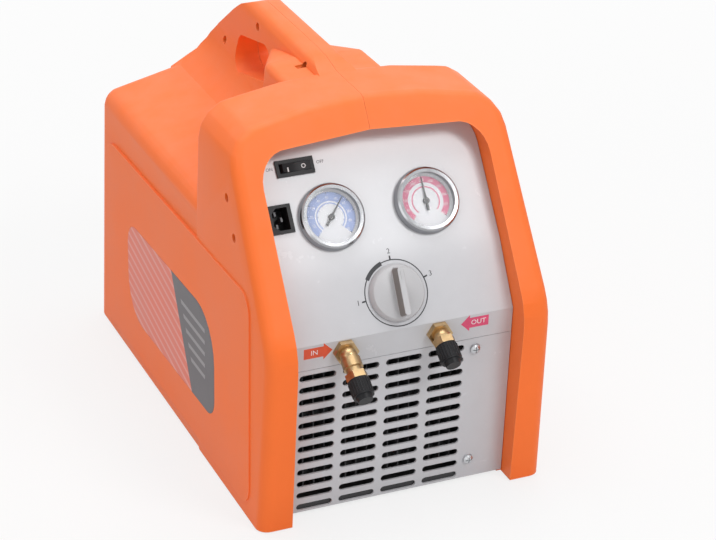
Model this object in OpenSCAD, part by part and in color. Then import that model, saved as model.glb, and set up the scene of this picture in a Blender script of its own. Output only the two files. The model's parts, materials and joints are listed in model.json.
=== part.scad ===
// Portable refrigerant recovery machine: clamshell body, tilted control panel, two hose ports
// Millimetres, the front faces -Y, origin on the floor under the middle of the overall box

/* [Shell] */
// Width of the hood at the floor
hood_w = 248; // [220:1:300]
// Width of the body behind the hood at the floor
body_w = 246; // [220:1:300]
// Depth from the front apex of the rim to the rear wall at the floor
body_d = 449; // [400:1:520]
// Inward lean of the side walls, degrees
side_lean = 1.15; // [0:0.05:3]
// Forward lean of the rear wall, degrees
rear_lean = 5; // [0:0.5:10]
// Moulded wall thickness
wall = 3; // [2:0.5:5]
// Radius along the outer edges of the shell
edge_r = 10; // [7:1:16]
// Radius along the outer edges of the body behind the hood
body_r = 17; // [10:1:22]
// Height of the lower shell edge over the floor
floor_gap = 1; // [1:0.5:8]
// Open seam between the two shell halves
seam_gap = 0.3; // [0:0.1:1]
// Height of the shoulder crease
shoulder_z = 231; // [200:1:260]
// Height of the shoulder beside the handle ridge
crest_z = 245; // [235:1:280]
// Half width of the shoulder crest
crest_x = 46; // [30:1:70]

/* [Hood] */
// Height of the foremost line of the rim, where its two slopes would meet
apex_z = 165; // [120:1:200]
// Radius of the rim's foremost bend
apex_r = 50; // [20:1:80]
// Set back of the rim below the apex, for each millimetre of height
lower_slope = 0.117; // [0:0.005:0.3]
// Set back of the rim above the apex, for each millimetre of height
upper_slope = 0.65; // [0.3:0.01:1]
// Height of the hood crown
hood_top = 326; // [300:1:350]
// Drop of the hood top from the crown to its corners
hood_drop = 9; // [0:1:20]
// Radius of the hood's upper corners
hood_corner = 32; // [20:1:50]
// Distance of the hood's rear edge from the apex, at the shoulder
hood_rear = 174; // [140:1:200]
// Forward lean of the hood's rear edge, for each millimetre of height
hood_rear_slope = 0.06; // [0:0.01:0.3]

/* [Handle] */
// Height of the handle's top
handle_top = 332; // [328:1:350]
// Width of the handle bar
grip_w = 35; // [28:1:45]
// Height of the finger opening
finger_h = 32; // [28:1:40]
// Distance from the rear wall at the floor to the finger opening's front end, at its centre
finger_front = 172; // [164:1:179]
// Distance from the rear wall at the floor to the finger opening's rear end, at its centre
finger_rear = 123; // [109:1:149]
// Height of the front end of the finger opening, at its centre
finger_front_z = 293; // [285:1:300]
// Height of the rear end of the finger opening, at its centre
finger_rear_z = 283; // [270:1:295]

/* [Side pads and labels] */
// How far the side pads stand off the body
pad_out = 2; // [1:0.5:4]
// Distance from the apex to the front edge of the pads
pad_front = 42; // [30:1:60]
// Length of the pads
pad_len = 372; // [300:1:390]
// Height of the lower edge of the pads
pad_low = 12; // [6:1:30]
// Height of the upper edge of the pads
pad_high = 200; // [160:1:210]
// Corner radius of the pads
pad_r = 18; // [8:1:30]
// Length of the side label
label_len = 226; // [120:1:280]
// Height of the side label
label_h = 92; // [50:1:110]
// Height of the label's centre
label_z = 96; // [70:1:130]
// Distance from the apex to the label's centre
label_y = 236; // [180:1:280]
// Thickness of the label sheet
label_t = 0.5; // [0.2:0.1:1]

/* [Front panels] */
// Half width of the rim opening
open_x = 96; // [85:1:105]
// Height of the top of the rim opening
open_top = 303; // [285:1:312]
// Radius of the opening's upper corners
open_r = 24; // [10:1:40]
// Depth of the panels behind the rim, at the apex
panel_set = 22; // [12:1:35]
// Height of the panel's foremost line
panel_apex = 160; // [150:1:175]
// Sheet thickness of the panels
sheet = 1.5; // [1:0.25:3]
// Height of the bend across the control panel
bend_z = 209; // [190:1:220]
// Lean of the panel below the bend, degrees
mid_lean = 29; // [15:1:40]
// Lean of the panel above the bend, degrees
top_lean = 35; // [20:1:45]
// Lean of the vent panel, degrees
vent_lean = 5; // [0:0.5:12]
// Height of the joint between the vent panel and the control panel
joint_z = 138; // [125:1:145]
// Height of the vent panel's lower edge
vent_low = 3; // [2:0.5:15]
// Width of the ledge that carries the front panels
ledge = 4; // [3:0.5:8]
// Clearance around a panel's edge
panel_gap = 0.5; // [0.2:0.1:1.5]

/* [Vent slots] */
// Number of slot columns
slot_cols = 4; // [2:1:6]
// Number of slot rows
slot_rows = 12; // [4:1:12]
// Length of a slot
slot_len = 31; // [20:0.5:33]
// Height of a slot
slot_h = 5.8; // [3:0.1:7]
// Distance between slot columns
slot_dx = 36.7; // [34:0.1:45]
// Distance between slot rows
slot_dz = 11.2; // [8:0.1:11.4]
// Sideways shift of the front slots
slot_shift = -16; // [-20:1:20]
// Height of the lowest front slot along the panel
slot_low = 4.8; // [4.5:0.1:10]

/* [Gauges] */
// Diameter of the gauge bezel
gauge_d = 54; // [45:0.5:62]
// Half the distance between the gauges
gauge_x = 40.5; // [34:0.5:45]
// Gauge height above the bend, along the panel
gauge_v = 40; // [32:1:50]
// How far the bezel stands off the panel
bezel_h = 8; // [5:0.5:12]
// Depth of the gauge case behind the panel
gauge_depth = 24; // [15:1:35]
// Radius of the needle's spindle
spindle_r = 1; // [0.6:0.1:2]
// Radial clearance of turning spindles and pins
run_gap = 0.05; // [0.02:0.01:0.1]

/* [Switch and mains inlet] */
// Width of the switch frame
switch_w = 31.5; // [28:0.5:42]
// Height of the switch frame
switch_h = 13.5; // [13:0.5:24]
// Sideways place of the switch
switch_x = -61; // [-70:1:-40]
// Switch height above the bend, along the panel
switch_v = 84; // [78:1:92]
// Tilt of the rocker to either side, degrees
rocker_tilt = 8; // [4:1:12]
// Width of the mains inlet frame
inlet_w = 19.5; // [19:0.5:20]
// Height of the mains inlet frame
inlet_h = 23; // [22:0.5:28]
// Sideways place of the mains inlet
inlet_x = -81.8; // [-82:0.1:-80]
// Mains inlet height above the bend, along the panel
inlet_v = 45; // [35:1:55]
// Depth of the mains inlet socket
socket_depth = 16; // [14:1:20]

/* [Valve and ports] */
// Diameter of the valve knob
knob_d = 46; // [36:1:56]
// Thickness of the knob's disc
knob_t = 6; // [4:0.5:10]
// Height of the knob's grip over the panel
grip_h = 18; // [12:1:26]
// Width of the knob's grip
knob_grip_w = 11; // [8:0.5:16]
// Knob height above the panel apex, along the panel
knob_v = 28.5; // [24:0.5:34]
// Radius of the valve stem
stem_r = 4; // [3:0.5:6]
// Sideways place of the inlet port
in_x = -49; // [-60:1:-40]
// Sideways place of the outlet port
out_x = 31; // [20:1:50]
// Height of the ports on the panel
port_z = 150; // [147:1:152]
// Downward turn of the ports, degrees
port_turn = 28; // [0:1:45]
// Length of the inlet port's barrel
in_barrel = 23; // [10:1:26]
// Length of the outlet port's barrel
out_barrel = 8; // [8:1:24]
// Radius of the flare thread
flare_r = 5.55; // [4:0.05:8]
// Radius of a hose cap
cap_r = 9; // [7:0.5:12]
// Length of a hose cap
cap_len = 14.5; // [14:0.5:24]
// Length of the cap's narrow end
cap_step = 4; // [3:0.5:8]
// Distance of the ports' ball from the panel
ball_out = 8; // [7:0.5:12]

/* [Cooling] */
// Left end of the condenser
coil_left = -95; // [-100:1:-80]
// Room for the tubes on the right of the condenser
coil_side = 44; // [40:1:64]
// Distance from the apex to the coil's front
coil_y = 45; // [43:1:50]
// Depth of the coil
coil_d = 25; // [20:1:30]
// Height of the coil
coil_h = 112; // [90:1:116]
// Number of fins
fin_count = 18; // [8:1:26]
// Thickness of a fin
fin_t = 1; // [0.6:0.1:1.5]
// Number of tube passes
pass_count = 6; // [4:2:8]
// Radius of the refrigerant tubes
tube_r = 3.2; // [2.5:0.1:5]
// Radius of the fan
fan_r = 53; // [40:1:55]
// Tip clearance of the fan
fan_gap = 3; // [2:0.5:6]
// Number of fan blades
blade_count = 5; // [3:1:9]
// Radius of the fan shaft
shaft_r = 3; // [2:0.5:5]

/* [Compressor] */
// Height of the compressor's axis
drive_z = 85; // [75:1:100]
// Distance from the apex to the crankcase's front
crank_y = 195; // [180:1:210]
// Length of the crankcase
crank_len = 80; // [60:1:100]
// Half width of the crankcase
crank_x = 46; // [36:1:52]
// Radius of a cylinder barrel
barrel_r = 29; // [22:1:34]
// Length of a cylinder barrel
barrel_len = 38; // [30:1:42]
// Thickness of a cylinder head
head_t = 14; // [10:1:18]
// Width of a cylinder head
head_w = 72; // [60:1:80]
// Radius of the drive motor
motor_r = 60; // [45:1:64]
// Length of the drive motor
motor_len = 118; // [90:1:130]
// Radius of the gauge capillaries
capillary_r = 1.6; // [1:0.1:2.5]
// How much wider than its tube a brazed elbow is
elbow = 1.4; // [0.4:0.1:2]

/* [Base and fasteners] */
// Thickness of the base plate
plate_t = 2; // [1.5:0.5:4]
// Height of the feet
foot_h = 8; // [5:1:14]
// Radius of the feet
foot_r = 13; // [8:1:18]
// Radius of the shell screw shanks
screw_r = 1.5; // [1.2:0.1:2.5]
// Radius of the shell screw heads
screw_head_r = 3.2; // [2.6:0.1:4.5]
// Depth of the shell screw pockets
pocket = 5; // [3:0.5:8]
// Thread of a handle screw in the right half
engage = 10; // [6:1:14]
// Width of the shell ledge under the rear grille
rear_ledge = 8; // [7:0.5:14]
// Width of the rear grille
rear_w = 176; // [120:1:190]
// Height of the rear grille
rear_h = 132; // [80:1:150]
// Height of the rear grille's lower edge
rear_low = 40; // [20:1:60]

/* [Hidden] */
$fn = 48;
shell_color = [0.98, 0.42, 0.13];
panel_color = [0.84, 0.84, 0.86];
steel_color = [0.72, 0.73, 0.75];
brass_color = [0.78, 0.60, 0.30];
black_color = [0.08, 0.08, 0.09];
alloy_color = [0.62, 0.64, 0.66];
copper_color = [0.75, 0.42, 0.25];
fit = 0.05;
port_down = vent_lean + port_turn;
lower_off = edge_r * sqrt(1 + pow(lower_slope, 2));
upper_off = edge_r * sqrt(1 + pow(upper_slope, 2));
rear_off = edge_r * sqrt(1 + pow(hood_rear_slope, 2));
lower_lean = atan(lower_slope);
upper_lean = atan(upper_slope);
apex_rise = (apex_r / cos(lower_lean) - apex_r / cos(upper_lean)) / (lower_slope + upper_slope);
apex_centre = [upper_slope * apex_rise + apex_r / cos(upper_lean), apex_z + apex_rise];
bend_y = panel_set + (bend_z - panel_apex) * tan(mid_lean);
plate_top = foot_h + plate_t;
coil_right = min(hood_w, body_w + 2) / 2 - coil_side;
// How far the longer hose cap stands in front of the rim apex, and the shift that centres the whole
front_reach = ball_out * cos(vent_lean) + (in_barrel + cap_len + cap_step) * cos(port_down)
  + (cap_r - 3) * sin(port_down) - panel_y(port_z);
front_y = -(rear_y(floor_gap) - front_reach) / 2;
coil_z = plate_top + 5;
pass_dz = 18;
fan_x = (coil_left + coil_right) / 2;
fan_z = coil_z + coil_h / 2;
shroud_y = coil_y + coil_d + 4;
hub_y = shroud_y + 24;
head_x = crank_x + barrel_len;
drive_y = crank_y + crank_len;
finger_r = finger_h / 2;
finger_front_y = body_d - finger_front;
finger_rear_y = body_d - finger_rear;
finger_dir = atan2(finger_rear_z - finger_front_z, finger_front - finger_rear);
finger_len = norm([finger_front - finger_rear, finger_rear_z - finger_front_z]);
boss_r = screw_r + 3;
// Screws along the handle, as distance from the apex, height and half width of the handle there
handle_screws = [
  [body_d - 79, 280, 20.6], [body_d - 155, 318.5, grip_w / 2], [187, 322.5, grip_w / 2]
];
// Screws behind the rim, as distance from the apex and height
rim_screws = [[96, 262], [79, 235]];
flange_x = open_x - ledge - panel_gap;

// Outer half width of the hood and of the body at a height
function hood_half(z) = hood_w / 2 - z * tan(side_lean);
function body_half(z) = body_w / 2 - z * tan(side_lean);
// Rear wall and the hood's rear edge at a height, from the apex
function rear_y(z) = body_d - z * tan(rear_lean);
function hood_rear_y(z) = hood_rear - max(0, z - shoulder_z) * hood_rear_slope;
// Panel front at a height, from the apex
function panel_y(z) =
  z < panel_apex ? panel_set + (panel_apex - z) * tan(vent_lean)
  : z < bend_z ? panel_set + (z - panel_apex) * tan(mid_lean)
  : bend_y + (z - bend_z) * tan(top_lean);
// Edge centres around the rim's foremost bend, as distance from the apex and height
function apex_arc() =
  [for (i = [0:3]) let (a = -lower_lean + i * (lower_lean + upper_lean) / 3)
    apex_centre + (apex_r - edge_r) * [-cos(a), sin(a)]];
// Points of an arc about a centre
function arc(c, r, from, to, n = 6) =
  [for (i = [0:n]) c + r * [cos(from + (to - from) * i / n), sin(from + (to - from) * i / n)]];

// Everything below is laid out from the rim apex
module from_apex() {
  translate([0, front_y, 0]) children();
}

// Local frames on the panels: x sideways, y up along the panel, z outwards
module on_top(x = 0, v = 0) {
  translate([0, bend_y, bend_z]) rotate([90 - top_lean, 0, 0]) translate([x, v, 0]) children();
}

module on_mid(x = 0, v = 0) {
  translate([0, panel_set, panel_apex]) rotate([90 - mid_lean, 0, 0]) translate([x, v, 0]) children();
}

module on_vent(x = 0, z = 0) {
  translate([x, panel_y(z), z]) rotate([90 + vent_lean, 0, 0]) children();
}

module on_rear(x = 0, v = 0) {
  translate([0, body_d, 0]) rotate([0, 0, 180]) rotate([90 - rear_lean, 0, 0])
    translate([x, v, 0]) children();
}

// Profile drawn as distance from the apex and height, extruded sideways
module side_extrude(from, to) {
  translate([from, 0, 0]) rotate([90, 0, 90]) linear_extrude(to - from) children();
}

// Outline drawn sideways and up, extruded rearwards
module front_extrude(from, to) {
  translate([0, to, 0]) rotate([90, 0, 0]) linear_extrude(to - from) children();
}

// Ball or, on the seam plane, a flat disc: the corner pieces of the shell hulls
module corner(p, r) {
  translate(p) sphere(r, $fn = 24);
}

module seam_disc(x, y, z, r) {
  translate([x, y, z]) rotate([0, 90, 0]) cylinder(r = r, h = 0.5, $fn = 24);
}

// Right half of the hood: a rounded arch that leans back above its apex
module hood_half_solid(inset, seam) {
  r = edge_r - inset;
  top_x = hood_half(hood_top) - hood_corner;
  top_z = hood_top - hood_drop - hood_corner;
  crown = hood_top - edge_r;
  crown_x = top_x * 0.55;
  crown_z = crown - hood_drop * 0.3;
  hull() {
    corner([hood_half(-15) - edge_r, -lower_slope * (-15 - apex_z) + lower_off, -15], r);
    for (p = apex_arc()) corner([hood_half(p[1]) - edge_r, p[0], p[1]], r);
    corner([hood_half(-15) - edge_r, hood_rear - edge_r, -15], r);
    corner([hood_half(shoulder_z - 20) - edge_r, hood_rear - edge_r, shoulder_z - 20], r);
    for (p = arc([top_x, top_z], hood_corner - edge_r, 0, 90, 4)) {
      corner([p[0], (p[1] - apex_z) * upper_slope + upper_off, p[1]], r);
      corner([p[0], hood_rear_y(p[1]) - rear_off, p[1]], r);
    }
    seam_disc(seam, -lower_slope * (-15 - apex_z) + lower_off, -15, r);
    for (p = apex_arc()) seam_disc(seam, p[0], p[1], r);
    corner([crown_x, (crown_z - apex_z) * upper_slope + upper_off, crown_z], r);
    corner([crown_x, hood_rear_y(crown_z) - rear_off, crown_z], r);
    seam_disc(seam, (crown - apex_z) * upper_slope + upper_off, crown, r);
    seam_disc(seam, hood_rear_y(crown) - rear_off, crown, r);
    seam_disc(seam, hood_rear - edge_r, -15, r);
  }
}

// Right half of the body behind the hood, with its sloping shoulder
module body_half_solid(inset, seam) {
  r = body_r - inset;
  front = 120;
  hull() {
    for (z = [-15, shoulder_z - body_r]) {
      corner([body_half(z) - body_r, front, z], r);
      corner([body_half(z) - body_r, rear_y(z) - body_r, z], r);
    }
    corner([crest_x, front, crest_z - body_r], r);
    corner([crest_x, rear_y(crest_z) - body_r, crest_z - body_r], r);
    for (z = [-15, crest_z - body_r]) {
      seam_disc(seam, front, z, r);
      seam_disc(seam, rear_y(z) - body_r, z, r);
    }
  }
}

// Right half of the handle: a flared ridge under a bar, cut to the handle's side profile
module handle_half_solid(inset, seam) {
  top = handle_top - inset;
  half = grip_w / 2 - inset;
  flare = [[1.5, 286], [6, 269], [13, 257], [24, 249], [36, 241]];
  section = concat(
    [[seam, 200], [seam, top]],
    arc([half - 12, top - 12], 12, 80, 0, 4),
    [for (p = flare) [half + p[0], p[1] - inset]],
    [[half + 36, 200]]
  );
  end = rear_y(crest_z) - body_r;
  profile = concat(
    [[130, 200], [130, 317 - inset], [158, 326 - inset], [182, top - 1], [204, top]],
    [[body_d - 139, top], [body_d - 127, top - 1.5], [body_d - 113, top - 7]],
    [[body_d - 97, top - 17], [body_d - 77, top - 31]],
    [[end - 20, top - 44], [end - 6, top - 57], [end + 4, top - 70], [end + 9.5, top - 82]],
    [[end + 12.5, top - 93], [end + 12.5, 200]]
  );
  intersection() {
    front_extrude(100, body_d) polygon(section);
    side_extrude(seam - 1, 80) polygon(profile);
  }
}

// Right half of the handle's front root: flush with the hood top, tapering rearwards to the bar
module root_half_solid(inset, seam) {
  r = 7 - inset;
  hull() {
    for (p = [[38, 150, 315], [37, 206, 315], [10.5, 264, 305]]) {
      corner(p, r);
      seam_disc(seam, p[1], p[2] + 2, r);
    }
    for (p = [[48, 150], [43, 208], [18, 268]]) corner([p[0], p[1], 238], r);
    for (y = [150, 268]) seam_disc(seam, y, 238, r);
  }
}

// Raised side pad of the right half, leaning with the side wall
module side_pad() {
  pad = concat(
    arc([pad_front + pad_r, pad_high - pad_r], pad_r, 180, 90),
    arc([pad_front + pad_len - 30, pad_high - 10 - 30], 30, 90, 4),
    arc([pad_front + pad_len + 8 - pad_r, pad_low + pad_r], pad_r, 0, -90),
    arc([pad_front + pad_r, pad_low + pad_r], pad_r, 270, 180)
  );
  translate([body_w / 2, 0, 0]) rotate([0, -side_lean, 0]) side_extrude(-1.5, pad_out) polygon(pad);
}

// Label outline: a slanted leaf with two round and two pointed ends
module label_outline(grow = 0) {
  h = label_h / 2 + grow;
  l = label_len / 2 + grow;
  polygon(concat(
    arc([-l + h * 0.9, 4], h * 0.9, 180, 90),
    arc([l - h * 0.5, h * 0.35], h * 0.5, 90, 0),
    arc([l - h * 0.8, -h * 0.3], h * 0.8, 0, -90),
    arc([-l + h * 0.4, -h * 0.6], h * 0.4, 270, 180)
  ));
}

module label_solid(depth, out, grow = 0) {
  translate([body_w / 2, 0, 0]) rotate([0, -side_lean, 0]) translate([0, label_y, label_z])
    side_extrude(pad_out - depth, pad_out + out) label_outline(grow);
}

// Outline of the rim opening, seen from the front
module open_outline(grow) {
  x = open_x + grow;
  r = open_r + grow;
  polygon(concat(
    [[-x, -20], [x, -20]],
    arc([x - r, open_top - open_r - 4], r, 0, 80),
    [[0, open_top + grow]],
    arc([-x + r, open_top - open_r - 4], r, 100, 180)
  ));
}

// Space in front of a surface parallel to the panels
module before_panel(back) {
  polygon([
    [-80, -20], [panel_y(-20) + back, -20], [panel_set + back / cos(mid_lean / 2), panel_apex],
    [bend_y + back / cos(mid_lean), bend_z], [panel_y(320) + back / cos(top_lean), 320], [-80, 320]
  ]);
}

module rim_recess(grow, back) {
  intersection() {
    front_extrude(-80, 140) open_outline(grow);
    side_extrude(-140, 140) before_panel(back);
  }
}

// Slanted finger opening through the handle
module finger_hole(grow) {
  r = finger_r + grow;
  for (p = [[finger_front_y, finger_front_z], [finger_rear_y, finger_rear_z]])
    translate([-70, p[0], p[1]]) rotate([0, 90, 0]) cylinder(r = r, h = 140);
  translate([-70, finger_front_y, finger_front_z]) rotate([finger_dir, 0, 0])
    translate([0, 0, 0.15 - r]) cube([140, finger_len, 2 * r - 0.3]);
}

module shell_cavity() {
  difference() {
    union() {
      hood_half_solid(wall, -1);
      body_half_solid(wall, -1);
      handle_half_solid(wall, -1);
      root_half_solid(wall, -1);
    }
    rim_recess(wall, sheet + wall);
    finger_hole(wall);
  }
}

// Rear window of the shell, closed by the rear grille
module rear_window() {
  on_rear(0, rear_low + rear_h / 2) translate([0, 0, -15])
    linear_extrude(30) square([rear_w - 2 * rear_ledge, rear_h - 2 * rear_ledge], center = true);
}

// One shell half, drawn on the right side; heads tells whether the handle screws start in it
module shell_half(heads) {
  difference() {
    union() {
      difference() {
        union() {
          hood_half_solid(0, seam_gap / 2);
          body_half_solid(0, seam_gap / 2);
          handle_half_solid(0, seam_gap / 2);
          root_half_solid(0, seam_gap / 2);
          side_pad();
        }
        shell_cavity();
        rim_recess(0, sheet);
        rim_recess(-ledge, 40);
        finger_hole(0);
      }
      for (p = handle_screws)
        translate([0, p[0], p[1]]) rotate([0, 90, 0]) cylinder(r = boss_r, h = p[2] - 2.5);
      for (p = rim_screws)
        translate([flange_x, p[0], p[1]]) rotate([0, 90, 0])
          cylinder(r = boss_r, h = hood_half(p[1]) - 2 - flange_x);
    }
    for (p = handle_screws) {
      translate([-1, p[0], p[1]]) rotate([0, 90, 0])
        cylinder(r = screw_r + fit, h = heads ? p[2] : engage + 2);
      if (heads) translate([p[2] - pocket, p[0], p[1]]) rotate([0, 90, 0])
        cylinder(r = screw_head_r + 0.6, h = pocket + 7);
    }
    for (p = rim_screws) {
      translate([flange_x - 1, p[0], p[1]]) rotate([0, 90, 0]) cylinder(r = screw_r + fit, h = 60);
      translate([hood_half(p[1]) - pocket - 1, p[0], p[1]]) rotate([0, 90, 0])
        cylinder(r = screw_head_r + 0.6, h = 30);
    }
    label_solid(label_t, 5, 0.3);
    rear_window();
    for (p = rear_screws()) on_rear(p[0], rear_low + rear_h / 2 + p[1])
      translate([0, 0, -10]) cylinder(r = 2 + fit, h = 20);
    translate([-10, -50, floor_gap - 100]) cube([200, 600, 100]);
  }
}

module left_shell() {
  color(shell_color) from_apex() mirror([1, 0, 0]) shell_half(true);
}

module right_shell() {
  color(shell_color) from_apex() shell_half(false);
}

module left_label() {
  color(black_color) from_apex() mirror([1, 0, 0]) label_solid(label_t, 0);
}

module right_label() {
  color(black_color) from_apex() label_solid(label_t, 0);
}

// Sheet bent along the panel line, between two heights
module panel_sheet(low, high) {
  intersection() {
    front_extrude(-10, 140) open_outline(-panel_gap);
    difference() {
      side_extrude(-open_x, open_x) before_panel(sheet);
      side_extrude(-open_x - 1, open_x + 1) before_panel(0);
    }
    translate([-150, -20, low]) cube([300, 200, high - low]);
  }
}

// Side flange of the control panel, taking the rim screws
module panel_flange() {
  difference() {
    side_extrude(flange_x - sheet, flange_x) polygon([
      [panel_y(222) + 1.2, 222], [panel_y(222) + 26, 222], [panel_y(272) + 26, 272], [panel_y(272) + 1.2, 272]
    ]);
    for (p = rim_screws)
      translate([flange_x - 5, p[0], p[1]]) rotate([0, 90, 0]) cylinder(r = screw_r + fit, h = 10);
  }
}

module control_panel() {
  color(panel_color) from_apex() difference() {
    union() {
      panel_sheet(joint_z, 320);
      panel_flange();
      mirror([1, 0, 0]) panel_flange();
    }
    for (side = [-1, 1])
      on_top(side * gauge_x, gauge_v) translate([0, 0, -4]) cylinder(r = gauge_d / 2 - 2.2, h = 8);
    on_top(switch_x, switch_v) translate([0, 0, -1])
      cube([switch_w - 4 + 2 * fit, switch_h - 3 + 2 * fit, 10], center = true);
    on_top(inlet_x, inlet_v) translate([0, 0, -1])
      cube([inlet_w - 3.5 + 2 * fit, inlet_h - 2 + 2 * fit, 10], center = true);
    on_mid(0, knob_v) translate([0, 0, -5]) cylinder(r = stem_r + 0.6, h = 10);
    for (x = [in_x, out_x])
      on_vent(x, port_z) translate([0, 0, -5]) cylinder(r = 5.3, h = 10);
  }
}

// Slot with round ends
module slot(len, h, depth) {
  translate([0, 0, -depth / 2]) linear_extrude(depth) union() {
    square([len - h, h], center = true);
    for (side = [-1, 1])
      translate([side * (len - h) / 2, 0]) circle(h / 2, $fn = 16);
  }
}

// Field of slots, from the middle of its lowest row
module slot_field(cols, rows) {
  for (i = [0:cols - 1], j = [0:rows - 1])
    translate([(i - (cols - 1) / 2) * slot_dx, j * slot_dz, 0]) slot(slot_len, slot_h, 8);
}

// Screws of the vent panel, as place and height
function vent_screws() = [[64, 128], [64, 21]];

module vent_panel() {
  color(panel_color) from_apex() difference() {
    panel_sheet(vent_low, joint_z - 0.4);
    on_vent(slot_shift, vent_low) translate([0, slot_low, -1]) slot_field(slot_cols, slot_rows);
    for (p = vent_screws())
      on_vent(p[0], p[1]) translate([0, 0, -5]) cylinder(r = 2.05, h = 10);
  }
}

// Back of the vent panel at a height, from the apex
function vent_back(z) = panel_y(z) + sheet / cos(vent_lean) + 0.1;

// Upright strip behind the vent panel that takes its screws and stands on the base plate
module vent_bracket() {
  x = vent_screws()[0][0];
  top = joint_z - 4;
  low = plate_top + 5.5;
  color(steel_color) from_apex() difference() {
    side_extrude(x - 6, x + 6) polygon([
      [vent_back(top), top], [vent_back(top) + 2, top], [vent_back(low) + 2, low + 2],
      [coil_y - 2.5, low + 1.5], [coil_y - 2.5, plate_top], [coil_y - 4.7, plate_top],
      [coil_y - 4.7, low], [vent_back(low), low]
    ]);
    for (p = vent_screws()) on_vent(p[0], p[1]) translate([0, 0, -12]) cylinder(r = 2 + fit, h = 20);
  }
}

// Corner screws of the rear grille, from its middle
function rear_screws() =
  [for (sx = [-1, 1], sy = [-1, 1]) [sx * (rear_w / 2 - 4.5), sy * (rear_h / 2 - 4.5)]];

module rear_panel() {
  color(panel_color) from_apex() on_rear(0, rear_low + rear_h / 2) difference() {
    translate([0, 0, 0.1]) linear_extrude(sheet) difference() {
      square([rear_w, rear_h], center = true);
      for (p = rear_screws()) translate(p) circle(2.05);
    }
    translate([0, -slot_dz * 4.5, 1]) slot_field(slot_cols, 10);
  }
}

// Base plate with chamfered rear corners and a front apron
module base_plate() {
  x = body_w / 2 - wall - foot_h * tan(side_lean) - panel_gap;
  y0 = panel_y(foot_h) + sheet + wall + 1.5;
  y1 = rear_y(foot_h) - wall - panel_gap;
  lip_x = open_x - ledge - 1;
  color(steel_color) from_apex() union() {
    difference() {
      translate([0, 0, foot_h]) linear_extrude(plate_t) polygon([
        [-x, y0 + 4], [-lip_x, y0 + 4], [-lip_x, y0 - 4], [lip_x, y0 - 4], [lip_x, y0 + 4], [x, y0 + 4],
        [x, y1 - 14], [x - 14, y1], [14 - x, y1], [-x, y1 - 14]
      ]);
      for (p = foot_places())
        translate([p[0], p[1], 0]) cylinder(r = 3 + fit, h = 40);
      translate([0, drive_y + 55, foot_h - 1]) linear_extrude(plate_t + 2)
        for (i = [-2:2]) translate([i * 14, 0]) square([6, 60], center = true);
    }
    translate([-lip_x, y0 - 4, 2]) cube([2 * lip_x, sheet, foot_h + 4]);
  }
}

function foot_places() =
  [for (sx = [-1, 1], y = [shroud_y + 18, body_d - 34]) [sx * (min(hood_w, body_w) / 2 - 18), y]];

// Turned rubber feet with a stud through the base plate
module rubber_feet() {
  color(black_color) from_apex() for (p = foot_places())
    translate([p[0], p[1], 0]) rotate_extrude() polygon([
      [0, 0], [foot_r - 1.5, 0], [foot_r, 1.5], [foot_r - 1, foot_h], [3, foot_h],
      [3, plate_top], [4.5, plate_top], [3.6, plate_top + 3], [0, plate_top + 3]
    ]);
}

// Cross-slotted pan screw, head upwards, its seat at zero
module pan_screw(len, r, head) {
  difference() {
    union() {
      translate([0, 0, -len]) cylinder(r = r, h = len);
      rotate_extrude() polygon([
        [0, 0], [head, 0], [head * 0.9, head * 0.4], [head * 0.5, head * 0.7], [0, head * 0.75]
      ]);
    }
    for (a = [0, 90]) rotate([0, 0, a])
      translate([-head * 0.6, -0.35, head * 0.35]) cube([head * 1.2, 0.7, head]);
  }
}

module shell_screws() {
  color(steel_color) from_apex() {
    for (p = handle_screws)
      translate([pocket - p[2], p[0], p[1]]) rotate([0, -90, 0])
        pan_screw(p[2] - pocket + engage, screw_r, screw_head_r);
    for (side = [0, 1], p = rim_screws) mirror([side, 0, 0])
      translate([hood_half(p[1]) - pocket - 1, p[0], p[1]]) rotate([0, 90, 0])
        pan_screw(hood_half(p[1]) - pocket - flange_x + 0.3, screw_r, screw_head_r);
  }
}

module panel_screws() {
  color(steel_color) from_apex() {
    for (p = vent_screws()) on_vent(p[0], p[1]) pan_screw(7, 2, 4.5);
    for (p = rear_screws())
      on_rear(p[0], rear_low + rear_h / 2 + p[1]) translate([0, 0, sheet + 0.1]) pan_screw(5, 2, 4);
  }
}

// Round gauge: pressed case with a bezel, dial, needle on a spindle and a lens under the bezel lip
module gauge_case() {
  r = gauge_d / 2;
  rotate_extrude($fn = 72) polygon([
    [0, -gauge_depth], [r - 3, -gauge_depth], [r - 2.4, -gauge_depth + 1], [r - 2.4, 0], [r, 0],
    [r, bezel_h - 4], [r - 1, bezel_h - 1.2], [r - 2.4, bezel_h], [r - 5, bezel_h - 0.4],
    [r - 5, bezel_h - 1], [r - 4, bezel_h - 1], [r - 4, -1], [r - 6.5, -1],
    [r - 6.5, 2 - gauge_depth], [0, 2 - gauge_depth]
  ]);
  translate([0, 0, -gauge_depth - 5]) cylinder(r = 5, h = 5.5);
  translate([0, 0, -gauge_depth - 9]) cylinder(r = 3, h = 5);
}

module gauge_dial() {
  r = gauge_d / 2 - 4 - fit;
  difference() {
    union() {
      translate([0, 0, -1]) cylinder(r = r, h = 1);
      translate([0, 0, -8]) cylinder(r = 4, h = 7.5);
    }
    translate([0, 0, -9]) cylinder(r = spindle_r + run_gap, h = 12);
  }
}

module gauge_needle(turn) {
  r = gauge_d / 2 - 8;
  rotate([0, 0, turn]) union() {
    translate([0, 0, -7.5]) cylinder(r = spindle_r, h = 9.5);
    translate([0, 0, 0.8]) cylinder(r = 2.6, h = 1.6);
    translate([0, 0, 1.1]) linear_extrude(0.7)
      polygon([[-1.1, -8], [1.1, -8], [0.9, 0], [0.25, r], [-0.25, r], [-0.9, 0]]);
  }
}

module gauge_lens() {
  translate([0, 0, bezel_h - 2.5]) cylinder(r = gauge_d / 2 - 4 - fit, h = 1.5, $fn = 72);
}

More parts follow.
